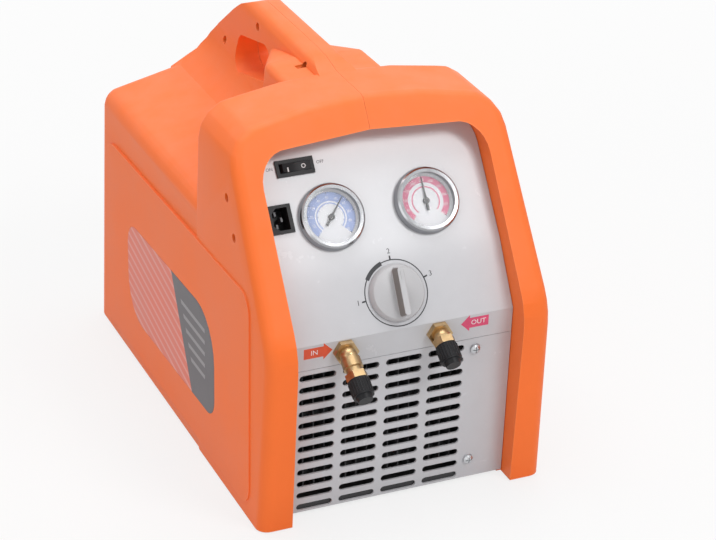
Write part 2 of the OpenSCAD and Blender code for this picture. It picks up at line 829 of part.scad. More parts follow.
module low_gauge_case() {
  color(steel_color) from_apex() on_top(-gauge_x, gauge_v) gauge_case();
}

module low_gauge_dial() {
  color([0.95, 0.95, 0.95]) from_apex() on_top(-gauge_x, gauge_v) gauge_dial();
}

module low_gauge_needle() {
  color(black_color) from_apex() on_top(-gauge_x, gauge_v) gauge_needle(-40);
}

module low_gauge_lens() {
  color([0.9, 0.95, 1, 0.3]) from_apex() on_top(-gauge_x, gauge_v) gauge_lens();
}

module high_gauge_case() {
  color(steel_color) from_apex() on_top(gauge_x, gauge_v) gauge_case();
}

module high_gauge_dial() {
  color([0.95, 0.95, 0.95]) from_apex() on_top(gauge_x, gauge_v) gauge_dial();
}

module high_gauge_needle() {
  color(black_color) from_apex() on_top(gauge_x, gauge_v) gauge_needle(0);
}

module high_gauge_lens() {
  color([0.9, 0.95, 1, 0.3]) from_apex() on_top(gauge_x, gauge_v) gauge_lens();
}

// Snap-in switch frame with a well for the rocker and three tabs behind
module switch_frame() {
  w = switch_w - 4;
  h = switch_h - 3;
  color(black_color) from_apex() on_top(switch_x, switch_v) difference() {
    union() {
      translate([0, 0, 1]) cube([switch_w, switch_h, 2], center = true);
      translate([0, 0, -9]) cube([w, h, 18.5], center = true);
      for (x = [-9, 0, 9]) translate([x, 0, -21]) cube([0.8, 6.3, 8], center = true);
    }
    translate([0, 0, 0]) cube([w - 1.4, h - 3, 20], center = true);
    translate([0, 0, -2]) rotate([90, 0, 0]) cylinder(r = 1.5 + run_gap, h = h - 1, center = true);
  }
}

// Rocker with a hollowed top, tilted to its rest position
module switch_rocker() {
  half = switch_w / 2 - 3.4;
  depth = switch_h - 3 - 3.6;
  color(black_color) from_apex() on_top(switch_x, switch_v) translate([0, 0, -2])
    rotate([0, rocker_tilt, 0]) union() {
      rotate([90, 0, 0]) linear_extrude(depth, center = true) polygon(concat(
        [[half, -0.5], [half, 6.2]],
        [for (i = [1:7]) [half - i * half / 4, 6.2 - 2.2 * sin(i * 22.5)]],
        [[-half, 6.2], [-half, -0.5], [-4, -4], [4, -4]]
      ));
      rotate([90, 0, 0]) cylinder(r = 1.5, h = switch_h - 5, center = true);
    }
}

// Mains inlet: frame, body behind the panel and a three-pin socket with cut corners
module power_inlet() {
  x = inlet_w / 2 - 3.2;
  y = inlet_h / 2 - 2.5;
  color(black_color) from_apex() on_top(inlet_x, inlet_v) difference() {
    union() {
      translate([0, 0, 1]) cube([inlet_w, inlet_h, 2], center = true);
      translate([0, 0, -9]) cube([inlet_w - 3.5, inlet_h - 2, 18.5], center = true);
    }
    translate([0, 0, 2 - socket_depth]) linear_extrude(socket_depth + 1)
      polygon([[x, -y], [x, y], [4 - x, y], [-x, y - 4], [-x, 4 - y], [4 - x, -y]]);
    for (p = pin_places())
      translate([p[0], p[1], -11]) cube([1.6 + 2 * fit, 3.4 + 2 * fit, 20], center = true);
  }
}

function pin_places() = [[-3.2, -5], [-3.2, 5], [1.4, 0]];

module inlet_pins() {
  color(steel_color) from_apex() on_top(inlet_x, inlet_v) for (p = pin_places())
    translate([p[0], p[1], -11.5]) cube([1.6, 3.4, 21], center = true);
}

// Selector knob: coned disc, raised grip with hollowed flanks, stem into the valve
module valve_knob() {
  r = knob_d / 2;
  color([0.86, 0.86, 0.87]) from_apex() on_mid(0, knob_v) difference() {
    union() {
      translate([0, 0, 0.8]) rotate_extrude($fn = 72) polygon([
        [0, 0], [r, 0], [r, 1.5], [r - 1.6, knob_t - 1], [r - 2.6, knob_t], [0, knob_t]
      ]);
      intersection() {
        translate([0, 0, 0.8]) cylinder(r1 = r, r2 = r - 2.4, h = grip_h, $fn = 72);
        translate([-knob_grip_w / 2, -r, 0.8]) cube([knob_grip_w, 2 * r, grip_h]);
      }
      translate([0, 0, -30]) cylinder(r = stem_r, h = 31);
    }
    for (side = [-1, 1])
      translate([side * (knob_grip_w / 2 + 17), 0, knob_t + 0.8]) cylinder(r = 18.5, h = 40);
    translate([-0.6, r - 11, grip_h + 0.2]) cube([1.2, 12, 5]);
  }
}

// Valve block behind the panel, on two posts, with a bore for the stem
module valve_block() {
  color(brass_color) from_apex() on_mid(0, knob_v) difference() {
    union() {
      translate([-30, -14, -38]) cube([60, 28, 30]);
      for (side = [-1, 1]) translate([side * 22, 0, -9]) cylinder(r = 4, h = 9 - sheet);
    }
    translate([0, 0, -32]) cylinder(r = stem_r + run_gap, h = 40);
    for (side = [-1, 1], v = [-9, 9]) translate([side * 25, v, -12]) cylinder(r = 2.2, h = 10);
  }
}

// Hose port: hex flange, ball, turned barrel with a hex and a flare thread
module port(barrel) {
  translate([0, 0, 0]) cylinder(r = 10.5, h = 5, $fn = 6);
  translate([0, 0, 4]) cylinder(r = 6, h = ball_out - 4);
  translate([0, 0, -12]) cylinder(r = 5, h = 13);
  translate([0, 0, ball_out]) rotate([port_turn, 0, 0]) difference() {
    union() {
      sphere(7);
      cylinder(r = 6.5, h = barrel);
      translate([0, 0, barrel - 6]) cylinder(r = 9.2, h = 6, $fn = 6);
      if (barrel > 16) translate([0, 0, 4]) cylinder(r = 8, h = 8);
      cylinder(r = flare_r, h = barrel + 10);
      translate([0, 0, barrel + 10]) cylinder(r1 = flare_r, r2 = 3, h = 2.5);
    }
    translate([0, 0, 2]) cylinder(r = 2.2, h = 60);
  }
}

// Ribbed cap with a stepped end, bored to slip over the flare thread
module hose_cap(barrel) {
  translate([0, 0, ball_out]) rotate([port_turn, 0, 0]) translate([0, 0, barrel]) difference() {
    union() {
      cylinder(r = cap_r - 0.5, h = cap_len);
      for (a = [0:15:345]) rotate([0, 0, a])
        translate([cap_r - 0.7, 0, 1.5]) cylinder(r = 0.7, h = cap_len - 3, $fn = 8);
      translate([0, 0, cap_len - 0.5]) cylinder(r1 = cap_r - 2, r2 = cap_r - 3, h = cap_step + 0.5);
    }
    translate([0, 0, -1]) cylinder(r = flare_r + run_gap, h = 15);
  }
}

module inlet_port() {
  color(brass_color) from_apex() on_vent(in_x, port_z) port(in_barrel);
}

module outlet_port() {
  color(brass_color) from_apex() on_vent(out_x, port_z) port(out_barrel);
}

module inlet_cap() {
  color(black_color) from_apex() on_vent(in_x, port_z) hose_cap(in_barrel);
}

module outlet_cap() {
  color(black_color) from_apex() on_vent(out_x, port_z) hose_cap(out_barrel);
}

// Heights of the tube passes through the coil
function pass_z(i) = coil_z + (coil_h - (pass_count - 1) * pass_dz) / 2 + i * pass_dz;

// Outline of a fin with its tube holes
module fin_outline(hole_r) {
  difference() {
    translate([coil_y, coil_z]) square([coil_d, coil_h]);
    for (i = [0:pass_count - 1]) translate([coil_y + coil_d / 2, pass_z(i)]) circle(hole_r);
  }
}

module condenser_fins() {
  pitch = (coil_right - coil_left) / (fin_count + 1);
  color(alloy_color) from_apex() for (i = [1:fin_count])
    side_extrude(coil_left + i * pitch - fin_t / 2, coil_left + i * pitch + fin_t / 2)
      fin_outline(tube_r + fit);
}

module condenser_plates() {
  color(steel_color) from_apex() for (x = [coil_left, coil_right]) {
    side_extrude(x - 1, x + 1) fin_outline(tube_r + fit);
    translate([x - 1, coil_y, plate_top]) cube([2, coil_d, coil_z - plate_top + 0.5]);
    translate([x < 0 ? x - 1 : x - 9, coil_y, plate_top]) cube([10, coil_d, 2]);
  }
}

// One tube folded back and forth through the fins
module condenser_tube() {
  y = coil_y + coil_d / 2;
  start = coil_left - 3;
  run = coil_right - coil_left + 6;
  color(copper_color) from_apex() union() {
    for (i = [0:pass_count - 1])
      translate([start, y, pass_z(i)]) rotate([0, 90, 0])
        cylinder(r = tube_r, h = run + (i == 0 || i == pass_count - 1 ? 6 : 0));
    for (i = [0:pass_count - 2])
      translate([i % 2 == 0 ? start : start + run, y, pass_z(i) + pass_dz / 2])
        rotate([90, 0, 0]) rotate([0, 0, i % 2 == 0 ? 90 : -90])
          rotate_extrude(angle = 180) translate([pass_dz / 2, 0]) circle(tube_r);
  }
}

// Fan shroud: plate with a ring, three arms and a motor seat
module fan_shroud() {
  r = fan_r + fan_gap;
  color(black_color) from_apex() union() {
    difference() {
      translate([coil_left, shroud_y, plate_top])
        cube([coil_right - coil_left, 2, coil_h + 5]);
      translate([fan_x, shroud_y - 1, fan_z]) rotate([-90, 0, 0]) cylinder(r = r, h = 4);
    }
    translate([coil_left, shroud_y, plate_top]) cube([coil_right - coil_left, 10, 2]);
    translate([fan_x, shroud_y, fan_z]) rotate([-90, 0, 0]) difference() {
      union() {
        difference() {
          cylinder(r = r + 2, h = 24);
          translate([0, 0, -1]) cylinder(r = r, h = 30);
        }
        for (a = [30, 150, 270]) rotate([0, 0, a]) translate([12, -4, 21]) cube([r - 11.5, 8, 3]);
        translate([0, 0, 21]) cylinder(r = 20, h = 3);
      }
      translate([0, 0, 15]) cylinder(r = shaft_r + 1, h = 20);
    }
  }
}

// Fan wheel with pitched blades on its shaft
module fan_blades() {
  color([0.75, 0.76, 0.78]) from_apex() translate([fan_x, shroud_y, fan_z]) rotate([-90, 0, 0]) union() {
    translate([0, 0, 4]) cylinder(r = 15, h = 14);
    intersection() {
      for (i = [0:blade_count - 1]) rotate([0, 0, i * 360 / blade_count])
        translate([10, 0, 11]) rotate([32, 0, 0]) translate([0, -16, -0.8]) cube([fan_r, 32, 1.6]);
      translate([0, 0, 2]) cylinder(r = fan_r, h = 17);
    }
    translate([0, 0, 10]) cylinder(r = shaft_r, h = 38);
  }
}

module fan_motor() {
  color(steel_color) from_apex() translate([fan_x, hub_y, fan_z]) rotate([-90, 0, 0]) difference() {
    rotate_extrude() polygon([[0, 0], [22, 0], [24, 2], [24, 36], [20, 40], [0, 40]]);
    translate([0, 0, -1]) cylinder(r = shaft_r + run_gap, h = 27);
  }
}

// Crankcase with ribbed cover and feet
module crankcase() {
  color(alloy_color) from_apex() difference() {
    union() {
      translate([-crank_x, crank_y, drive_z - 45]) cube([2 * crank_x, crank_len, 90]);
      translate([-62, crank_y + 2, 30]) cube([124, crank_len - 4, 6]);
      translate([-30, crank_y + 6, 35]) cube([60, crank_len - 12, 10]);
      translate([0, crank_y - 10, drive_z]) rotate([-90, 0, 0]) cylinder(r = 36, h = 11);
      for (a = [0:45:315]) translate([0, crank_y - 6, drive_z]) rotate([0, a, 0])
        translate([32, 0, 0]) rotate([-90, 0, 0]) cylinder(r = 5, h = 8);
    }
    for (p = mount_places()) if (p[1] < drive_y)
      translate([p[0], p[1], 20]) cylinder(r = 4 + fit, h = 30);
  }
}

function mount_places() = [
  for (sx = [-1, 1]) each [[sx * 54, crank_y + crank_len / 2], [sx * 42, drive_y + 75]]
];

// Finned barrels on either side of the crankcase
module cylinder_barrels() {
  color(alloy_color) from_apex() for (side = [-1, 1])
    translate([side * crank_x, crank_y + crank_len / 2, drive_z]) rotate([0, side * 90, 0]) union() {
      cylinder(r = barrel_r, h = barrel_len);
      for (i = [0:3]) translate([0, 0, 5 + i * 8]) cylinder(r = barrel_r + 5, h = 3);
    }
}

// Square heads with ribs, bolts and a tube boss on top
module cylinder_heads() {
  y = crank_y + crank_len / 2;
  color(alloy_color) from_apex() for (side = [0, 1]) mirror([side, 0, 0]) {
    translate([head_x, y - head_w / 2, drive_z - head_w / 2]) cube([head_t, head_w, head_w]);
    for (i = [-2:2]) translate([head_x + head_t - 1, y + i * 12 - 1.5, drive_z - 30]) cube([6, 3, 60]);
    for (a = [45:90:315]) translate([head_x + head_t - 1, y, drive_z]) rotate([a, 0, 0])
      translate([0, 0, head_w / 2 + 6]) rotate([0, 90, 0]) cylinder(r = 5, h = 5, $fn = 6);
    translate([head_x + head_t / 2, y, drive_z + head_w / 2 - 1]) cylinder(r = 6, h = 7);
  }
}

// Drive motor with end bells, cooling ribs, a foot and a wiring box
module drive_motor() {
  color([0.2, 0.21, 0.22]) from_apex() difference() {
    union() {
      translate([0, drive_y, drive_z]) rotate([-90, 0, 0]) rotate_extrude($fn = 72) polygon([
        [0, 0], [motor_r - 8, 0], [motor_r - 2, 8], [motor_r, 10], [motor_r, motor_len - 16],
        [motor_r - 4, motor_len - 8], [motor_r - 20, motor_len], [0, motor_len]
      ]);
      translate([-50, drive_y + 55, 30]) cube([100, 40, 6]);
      translate([-30, drive_y + 55, 30]) cube([60, 40, 20]);
      translate([-22, drive_y + 30, drive_z + motor_r - 8]) cube([44, 56, 18]);
    }
    for (p = mount_places()) if (p[1] > drive_y)
      translate([p[0], p[1], 20]) cylinder(r = 4 + fit, h = 17);
  }
}

// Waisted rubber mounts with a stud into the feet above
module compressor_mounts() {
  color(black_color) from_apex() for (p = mount_places())
    translate([p[0], p[1], plate_top]) rotate_extrude() polygon([
      [0, 0], [11, 0], [11, 4], [8.5, (30 - plate_top) / 2], [11, 26 - plate_top], [11, 30 - plate_top],
      [4, 30 - plate_top], [4, 36 - plate_top], [0, 36 - plate_top]
    ]);
}

// Start capacitor lying in a saddle
module start_capacitor() {
  color(black_color) from_apex() translate([body_w / 2 - 33, drive_y + 25, plate_top]) union() {
    translate([0, 0, 19]) rotate([-90, 0, 0]) cylinder(r = 18, h = 74);
    translate([-13, 12, 0]) cube([26, 50, 8]);
    for (x = [-7, 7]) translate([x, -5, 19]) cube([1, 6, 6]);
  }
}

// Terminal block with clamping screws
module terminal_block() {
  color([0.85, 0.85, 0.8]) from_apex() translate([17 - body_w / 2, drive_y + 25, plate_top]) difference() {
    union() {
      cube([30, 64, 14]);
      for (i = [0:4]) translate([4, 4 + i * 12, 13]) cube([22, 8, 12]);
    }
    for (i = [0:4], x = [9, 21]) translate([x, 8 + i * 12, 15]) cylinder(r = 2.4, h = 20);
  }
}

// High pressure cut-out switch on the valve block
module pressure_switch() {
  color(steel_color) from_apex() on_mid(0, knob_v) translate([0, 14, -24]) rotate([-90, 0, 0]) union() {
    cylinder(r = 5, h = 8);
    translate([0, 0, 6]) cylinder(r = 9, h = 5, $fn = 6);
    translate([0, 0, 10]) cylinder(r = 8.5, h = 12);
    for (x = [-3, 3]) translate([x - 0.4, -3, 21]) cube([0.8, 6, 8]);
  }
}

// Round tube along straight runs, with a brazed ball elbow at each turn
module tube_run(p, r) {
  for (i = [0:len(p) - 2]) {
    d = p[i + 1] - p[i];
    translate(p[i]) rotate([0, acos(d[2] / norm(d)), atan2(d[1], d[0])]) cylinder(r = r, h = norm(d));
    if (i > 0) translate(p[i]) sphere(r + elbow);
  }
}

// Points on the valve block, in the shell's frame
function block_point(x, v, z) = [
  x,
  panel_set + (knob_v + v) * sin(mid_lean) - z * cos(mid_lean),
  panel_apex + (knob_v + v) * cos(mid_lean) + z * sin(mid_lean)
];
// Points behind a port and behind a gauge
function port_point(x, back) = [x, panel_y(port_z) + back * cos(vent_lean), port_z + back * sin(vent_lean)];
function gauge_point(x, back) = [
  x,
  bend_y + gauge_v * sin(top_lean) + back * cos(top_lean),
  bend_z + gauge_v * cos(top_lean) - back * sin(top_lean)
];
head_port = [head_x + head_t / 2, crank_y + crank_len / 2, drive_z + head_w / 2 + 6];

module inlet_line() {
  p = block_point(-30, 0, -23);
  color(copper_color) from_apex()
    tube_run([port_point(in_x, 12), port_point(in_x, 24), [in_x, p[1], p[2]], p], tube_r);
}

module outlet_line() {
  p = block_point(30, 0, -16);
  x = 46;
  color(copper_color) from_apex() tube_run([
    port_point(out_x, 12), port_point(out_x, 24), [x, p[1], p[2]], p
  ], tube_r);
}

module suction_line() {
  z = head_port[2] + 24;
  color(copper_color) from_apex() tube_run([
    block_point(0, -6, -38), block_point(0, -6, -60), [0, 160, z], [-head_port[0], 200, z],
    [-head_port[0], head_port[1], z], [-head_port[0], head_port[1], head_port[2]]
  ], tube_r);
}

module discharge_line() {
  y = coil_y + coil_d / 2;
  x = coil_right + 20;
  z = head_port[2] + 24;
  e = pass_z(pass_count - 1);
  color(copper_color) from_apex() tube_run([
    head_port, [head_port[0], head_port[1], z], [x, head_port[1] - 30, z], [x, y, z], [x, y, e],
    [coil_right + 9, y, e]
  ], tube_r);
}

module return_line() {
  y = coil_y + coil_d / 2;
  x = coil_right + 30;
  p = block_point(30, 0, -31);
  color(copper_color) from_apex() tube_run([
    [coil_right + 9, y, pass_z(0)], [x, y, pass_z(0)], [x, y, p[2]], [60, p[1], p[2]], p
  ], tube_r);
}

module gauge_line(side) {
  p = block_point(side * 22, 6, -52);
  a = gauge_point(side * gauge_x, gauge_depth + 20);
  tube_run([
    gauge_point(side * gauge_x, gauge_depth + 9), a, [side * gauge_x, a[1], p[2] + 10],
    p, block_point(side * 22, 6, -38)
  ], capillary_r);
}

module low_gauge_line() {
  color(copper_color) from_apex() gauge_line(-1);
}

module high_gauge_line() {
  color(copper_color) from_apex() gauge_line(1);
}

left_shell();
right_shell();
left_label();
right_label();
control_panel();
vent_panel();
vent_bracket();
rear_panel();
base_plate();
rubber_feet();
shell_screws();
panel_screws();
low_gauge_case();
low_gauge_dial();
low_gauge_needle();
low_gauge_lens();
high_gauge_case();
high_gauge_dial();
high_gauge_needle();
high_gauge_lens();
switch_frame();
switch_rocker();
power_inlet();
inlet_pins();
valve_knob();
valve_block();
inlet_port();
outlet_port();
inlet_cap();
outlet_cap();
condenser_fins();
condenser_plates();
condenser_tube();
fan_shroud();
fan_blades();
fan_motor();
crankcase();
cylinder_barrels();
cylinder_heads();
drive_motor();
compressor_mounts();
start_capacitor();
terminal_block();
pressure_switch();
inlet_line();
outlet_line();
suction_line();
discharge_line();
return_line();
low_gauge_line();
high_gauge_line();
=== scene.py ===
"""Looks of a portable refrigerant recovery machine, dressed over its packed solids."""

import json
import math

import bmesh
import bpy
from bpy.props import FloatProperty, FloatVectorProperty, IntProperty, PointerProperty
from bpy.types import Operator, Panel, PropertyGroup
from mathutils import Matrix, Vector
from mathutils.bvhtree import BVHTree


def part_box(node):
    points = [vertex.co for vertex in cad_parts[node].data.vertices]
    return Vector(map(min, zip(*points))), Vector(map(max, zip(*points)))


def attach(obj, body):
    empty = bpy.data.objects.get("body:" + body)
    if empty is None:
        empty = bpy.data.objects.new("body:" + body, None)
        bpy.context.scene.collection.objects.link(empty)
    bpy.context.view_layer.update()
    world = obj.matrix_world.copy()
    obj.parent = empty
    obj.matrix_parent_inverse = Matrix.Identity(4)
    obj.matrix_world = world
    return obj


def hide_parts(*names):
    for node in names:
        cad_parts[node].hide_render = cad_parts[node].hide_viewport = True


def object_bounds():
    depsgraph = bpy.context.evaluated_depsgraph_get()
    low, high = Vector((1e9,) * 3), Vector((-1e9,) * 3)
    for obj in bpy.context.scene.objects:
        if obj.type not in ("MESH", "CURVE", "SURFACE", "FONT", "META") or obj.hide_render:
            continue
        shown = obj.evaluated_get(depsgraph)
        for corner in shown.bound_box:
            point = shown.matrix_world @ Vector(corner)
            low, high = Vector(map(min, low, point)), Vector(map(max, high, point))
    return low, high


bl_info = {
    "name": "Refrigerant Recovery Machine",
    "version": (1, 0, 0),
    "blender": (4, 5, 0),
    "location": "3D View > Sidebar > Recovery",
    "description": "Finishes, printed marks and stage of a portable refrigerant recovery machine",
    "category": "Object",
}

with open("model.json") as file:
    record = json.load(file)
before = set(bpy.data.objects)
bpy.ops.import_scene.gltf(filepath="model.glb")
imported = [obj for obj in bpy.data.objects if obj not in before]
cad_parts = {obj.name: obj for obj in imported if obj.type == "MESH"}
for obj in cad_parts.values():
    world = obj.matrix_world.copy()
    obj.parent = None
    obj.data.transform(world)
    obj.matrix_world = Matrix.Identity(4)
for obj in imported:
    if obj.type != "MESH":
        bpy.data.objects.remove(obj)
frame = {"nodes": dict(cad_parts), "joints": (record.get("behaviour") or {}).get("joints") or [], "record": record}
CAD_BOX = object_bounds()
JOINTS = {joint["name"]: joint for joint in frame["joints"]}
SLOTS = {part["node"]: part["material_slot"] for part in frame["record"]["subparts"]}
# Solids deep in a pocket, a socket or the vents, given a darker finish than the rest of their slot as painted
# shade for the depth they sit in; on the condenser tube the dark also stands for the coil's black coating
RECESS_SHADE = {"shell_screws": "dark_steel", "inlet_pins": "fin_alloy", "condenser_tube": "dark_steel"}
BODY = "machine"
MM = 0.001


# Sizes and colours


def color_property(name, description, default):
    return FloatVectorProperty(
        name=name, description=description, subtype="COLOR", size=3, min=0, max=1, default=default
    )


def length_property(name, description, millimetres):
    return FloatProperty(
        name=name, description=description, unit="LENGTH", precision=5, default=millimetres * MM
    )


def angle_property(name, description, degrees):
    return FloatProperty(
        name=name, description=description, subtype="ANGLE", default=math.radians(degrees)
    )


def count_property(name, description, default):
    return IntProperty(name=name, description=description, min=1, default=default)


class RecoveryColors(PropertyGroup):
    """Colours of the machine's finishes and print, and of the painted shade on the knob's grip"""

    shell: color_property("Shell", "Moulded shell halves", (0.98, 0.187, 0.037))
    panel: color_property("Panel", "Powder coat of the sheet panels", (0.55, 0.55, 0.575))
    knob: color_property("Knob", "Selector knob", (0.52, 0.515, 0.53))
    # Painted shade: dark grey for the grip's flanks, standing in for the shade and dark reflection on them
    grip: color_property("Grip", "Flanks of the knob's grip", (0.20, 0.18, 0.17))
    low_band: color_property("Low band", "Scale band of the low gauge", (0.34, 0.43, 0.74))
    high_band: color_property("High band", "Scale band of the high gauge", (0.74, 0.19, 0.31))
    dial_digits: color_property("Dial digits", "Numbers on the gauge bands", (0.85, 0.85, 0.87))
    inlet_arrow: color_property("Inlet arrow", "Arrow at the inlet port", (0.72, 0.09, 0.03))
    outlet_arrow: color_property("Outlet arrow", "Arrow at the outlet port", (0.70, 0.07, 0.17))
    arrow_words: color_property("Arrow words", "Words in the flow arrows", (0.86, 0.84, 0.84))
    rocker_signs: color_property("Rocker signs", "Signs on the switch's rocker", (0.72, 0.72, 0.72))
    label_pale: color_property("Label pale", "Pale part of the side film", (0.80, 0.17, 0.11))
    label_stripe: color_property("Label stripe", "Stripes of the pale part", (0.86, 0.46, 0.39))
    label_dark: color_property("Label dark", "Dark part of the side film", (0.115, 0.105, 0.115))
    label_bar: color_property("Label bar", "Bars of the dark part", (0.42, 0.41, 0.42))
    ink: color_property("Ink", "Dark print on the panels", (0.03, 0.03, 0.035))


class RecoveryDials(PropertyGroup):
    """Sizes of the two gauge scales"""

    radius: length_property("Radius", "Outer ends of the marks", 20.8)
    sweep: angle_property("Sweep", "Angle of the whole scale", 270)
    steps: count_property("Steps", "Fine steps of the scale", 50)
    group: count_property("Group", "Fine steps from one number to the next", 5)
    low_unit: count_property("Low unit", "Rise from one number to the next, low gauge", 10)
    high_unit: count_property("High unit", "Rise from one number to the next, high gauge", 50)
    low_inner: length_property("Low inner", "Inner radius of the low gauge's band", 13.2)
    low_outer: length_property("Low outer", "Outer radius of the low gauge's band", 20.4)
    high_inner: length_property("High inner", "Inner radius of the high gauge's band", 15.0)
    high_outer: length_property("High outer", "Outer radius of the high gauge's band", 20.0)
    main_length: length_property("Main length", "Length of a mark at a number", 1.9)
    main_width: length_property("Main width", "Width of a mark at a number", 0.5)
    fine_length: length_property("Fine length", "Length of a mark between numbers", 1.0)
    fine_width: length_property("Fine width", "Width of a mark between numbers", 0.26)
    ring_inner: length_property("Ring inner", "Inner radius of the thin inner ring", 11.0)
    ring_width: length_property("Ring width", "Width of the thin inner ring", 1.0)
    ring_mark_length: length_property("Ring mark length", "Length of a mark inside that ring", 1.0)
    ring_mark_width: length_property("Ring mark width", "Width of a mark inside that ring", 0.3)
    digit: length_property("Digit", "Height of the numbers", 2.1)
    digit_gap: length_property("Digit gap", "Room between the numbers' row and the marks", 0.3)


class RecoveryKnob(PropertyGroup):
    """Sizes of the selector knob, with heights measured from its seat"""

    radius: length_property("Radius", "Radius of the disc", 23)
    disc_low: length_property("Disc low", "Height of the disc's underside", 0.8)
    rim_top: length_property("Rim top", "Height of the straight rim's upper edge", 2.3)
    disc_top: length_property("Disc top", "Height of the disc's face", 6.8)
    stem_radius: length_property("Stem radius", "Radius of the stem", 4)
    stem_length: length_property("Stem length", "Depth of the stem's end below the seat", 29)
    grip_width: length_property("Grip width", "Width of the grip", 5.6)
    grip_length: length_property("Grip length", "Length of the grip", 40)
    grip_top: length_property("Grip top", "Height of the grip's top", 18.8)
    pointer_width: length_property("Pointer width", "Width of the pointer on the grip", 1.2)
    pointer_length: length_property("Pointer length", "Length of the pointer", 7)
    pointer_rise: length_property("Pointer rise", "Height of the pointer above the grip", 0.3)
    pointer_inset: length_property("Pointer inset", "Pointer's middle from the grip's end", 7)


class RecoveryMarks(PropertyGroup):
    """Sizes of the marks printed on the front"""

    film: length_property("Film", "Thickness of a printed mark", 0.08)
    ring_radius: length_property("Ring radius", "Middle of the ring round the knob", 26.3)
    ring_width: length_property("Ring width", "Line width of that ring", 0.9)
    thick_inside: length_property("Thick inside", "Thick stretch inside the ring's middle", 2.0)
    thick_outside: length_property("Thick outside", "Thick stretch outside the ring's middle", 1.4)
    tick_reach: length_property("Tick reach", "Outer end of a tick from the ring's middle", 3.4)
    tick_width: length_property("Tick width", "Width of a tick", 1.3)
    digit: length_property("Digit", "Height of the position numbers", 4.2)
    digit_reach: length_property("Digit reach", "Position numbers from the ring's middle", 6.6)
    switch_word: length_property("Switch word", "Height of the words beside the switch", 2.6)
    switch_lift: length_property("Switch lift", "Words and signs above the rocker's pivot", 2)
    on_gap: length_property("On gap", "Middle of ON from the switch's frame", 5)
    off_gap: length_property("Off gap", "Middle of OFF from the switch's frame", 6)
    sign_reach: length_property("Sign reach", "Rocker's signs from its pivot", 7)
    sign_height: length_property("Sign height", "Height of the rocker's signs", 3.6)
    sign_bar: length_property("Sign bar", "Width of the straight sign", 1.2)
    sign_line: length_property("Sign line", "Line width of the round sign", 0.65)
    sign_rise: length_property("Sign rise", "Height of the signs above the rocker", 0.4)
    arrow_length: length_property("Arrow length", "Length of a flow arrow", 24)
    arrow_height: length_property("Arrow height", "Height of a flow arrow's head", 15)
    arrow_level: length_property("Arrow level", "Arrows above the control panel's lower edge", 15)
    inlet_arrow_gap: length_property("Inlet arrow gap", "Arrow's middle left of the inlet", 22.5)
    outlet_arrow_gap: length_property("Outlet arrow gap", "Arrow's middle right of the outlet", 31.5)
    arrow_word: length_property("Arrow word", "Height of the words in the arrows", 4.4)
    arrow_word_shift: length_property("Arrow word shift", "Words from the arrows' middle", 3.2)


class RecoveryStage(PropertyGroup):
    """Camera, even light and floor"""

    lens: FloatProperty(name="Lens", description="Focal length", unit="CAMERA", default=130.73)
    camera_at: FloatVectorProperty(
        name="Camera", description="Place of the camera", subtype="TRANSLATION",
        default=(-0.7232, -1.85027, 1.1072),
    )
    camera_pitch: angle_property("Pitch", "Angle of the view below the horizon", 26.34)
    camera_turn: angle_property("Turn", "Angle of the view from the machine's axis", 22.43)
    sky: FloatProperty(name="Sky", description="Strength of the even light", min=0, default=0.45)
    floor: color_property("Floor", "Pale floor", (0.75, 0.75, 0.75))
    floor_glow: FloatProperty(
        name="Floor glow", description="Share of plain white in the floor near the machine",
        subtype="FACTOR", min=0, max=1, default=0.78,
    )


# Shader nodes

FLOAT = "NodeSocketFloat"


def add_node(tree, kind, links=None, **values):
    """A node with its properties set and its input sockets linked or filled."""
    node = tree.nodes.new(kind)
    for key, value in values.items():
        setattr(node, key, value)
    for key, value in (links or {}).items():
        socket = node.inputs[key]
        if isinstance(value, bpy.types.NodeSocket):
            tree.links.new(value, socket)
        else:
            socket.default_value = value
    return node


def math_node(tree, operation, a, b=0.0, clamp=False):
    node = add_node(tree, "ShaderNodeMath", {0: a, 1: b}, operation=operation, use_clamp=clamp)
    return node.outputs[0]


def mix_color(tree, factor, first, second, blend="MIX"):
    # Sockets 0, 6 and 7 are the factor and the two colours, and output 2 is the colour
    links = {0: factor, 6: first, 7: second}
    node = add_node(tree, "ShaderNodeMix", links, data_type="RGBA", blend_type=blend)
    return node.outputs[2]


def map_range(tree, value, source, target, clamp=True):
    links = dict(enumerate((value, *source, *target)))
    return add_node(tree, "ShaderNodeMapRange", links, clamp=clamp).outputs[0]


def object_place(tree):
    return tree.nodes.new("ShaderNodeTexCoord").outputs["Object"]


def noise(tree, place, scale, detail, roughness=0.5):
    links = {"Vector": place, "Scale": scale, "Detail": detail, "Roughness": roughness}
    return add_node(tree, "ShaderNodeTexNoise", links).outputs[0]


# Shared shader effects


def new_group(name, inputs, outputs):
    """A shader group with value sockets, each input with its default."""
    tree = bpy.data.node_groups.new(name, "ShaderNodeTree")
    for label, value in inputs:
        socket = tree.interface.new_socket(name=label, in_out="INPUT", socket_type=FLOAT)
        socket.default_value = value
    for label in outputs:
        tree.interface.new_socket(name=label, in_out="OUTPUT", socket_type=FLOAT)
    return tree, tree.nodes.new("NodeGroupInput"), tree.nodes.new("NodeGroupOutput")


def grain_group():
    """Fine moulded or sprayed grain, and a slow mottle of tone."""
    tree, given, out = new_group(
        "Surface grain", (("Scale", 900.0), ("Mottle Scale", 14.0)), ("Height", "Mottle")
    )
    place = object_place(tree)
    fine = noise(tree, place, given.outputs["Scale"], detail=3.0, roughness=0.6)
    slow = noise(tree, place, given.outputs["Mottle Scale"], detail=5.0, roughness=0.62)
    tree.links.new(fine, out.inputs["Height"])
    tree.links.new(slow, out.inputs["Mottle"])
    return tree


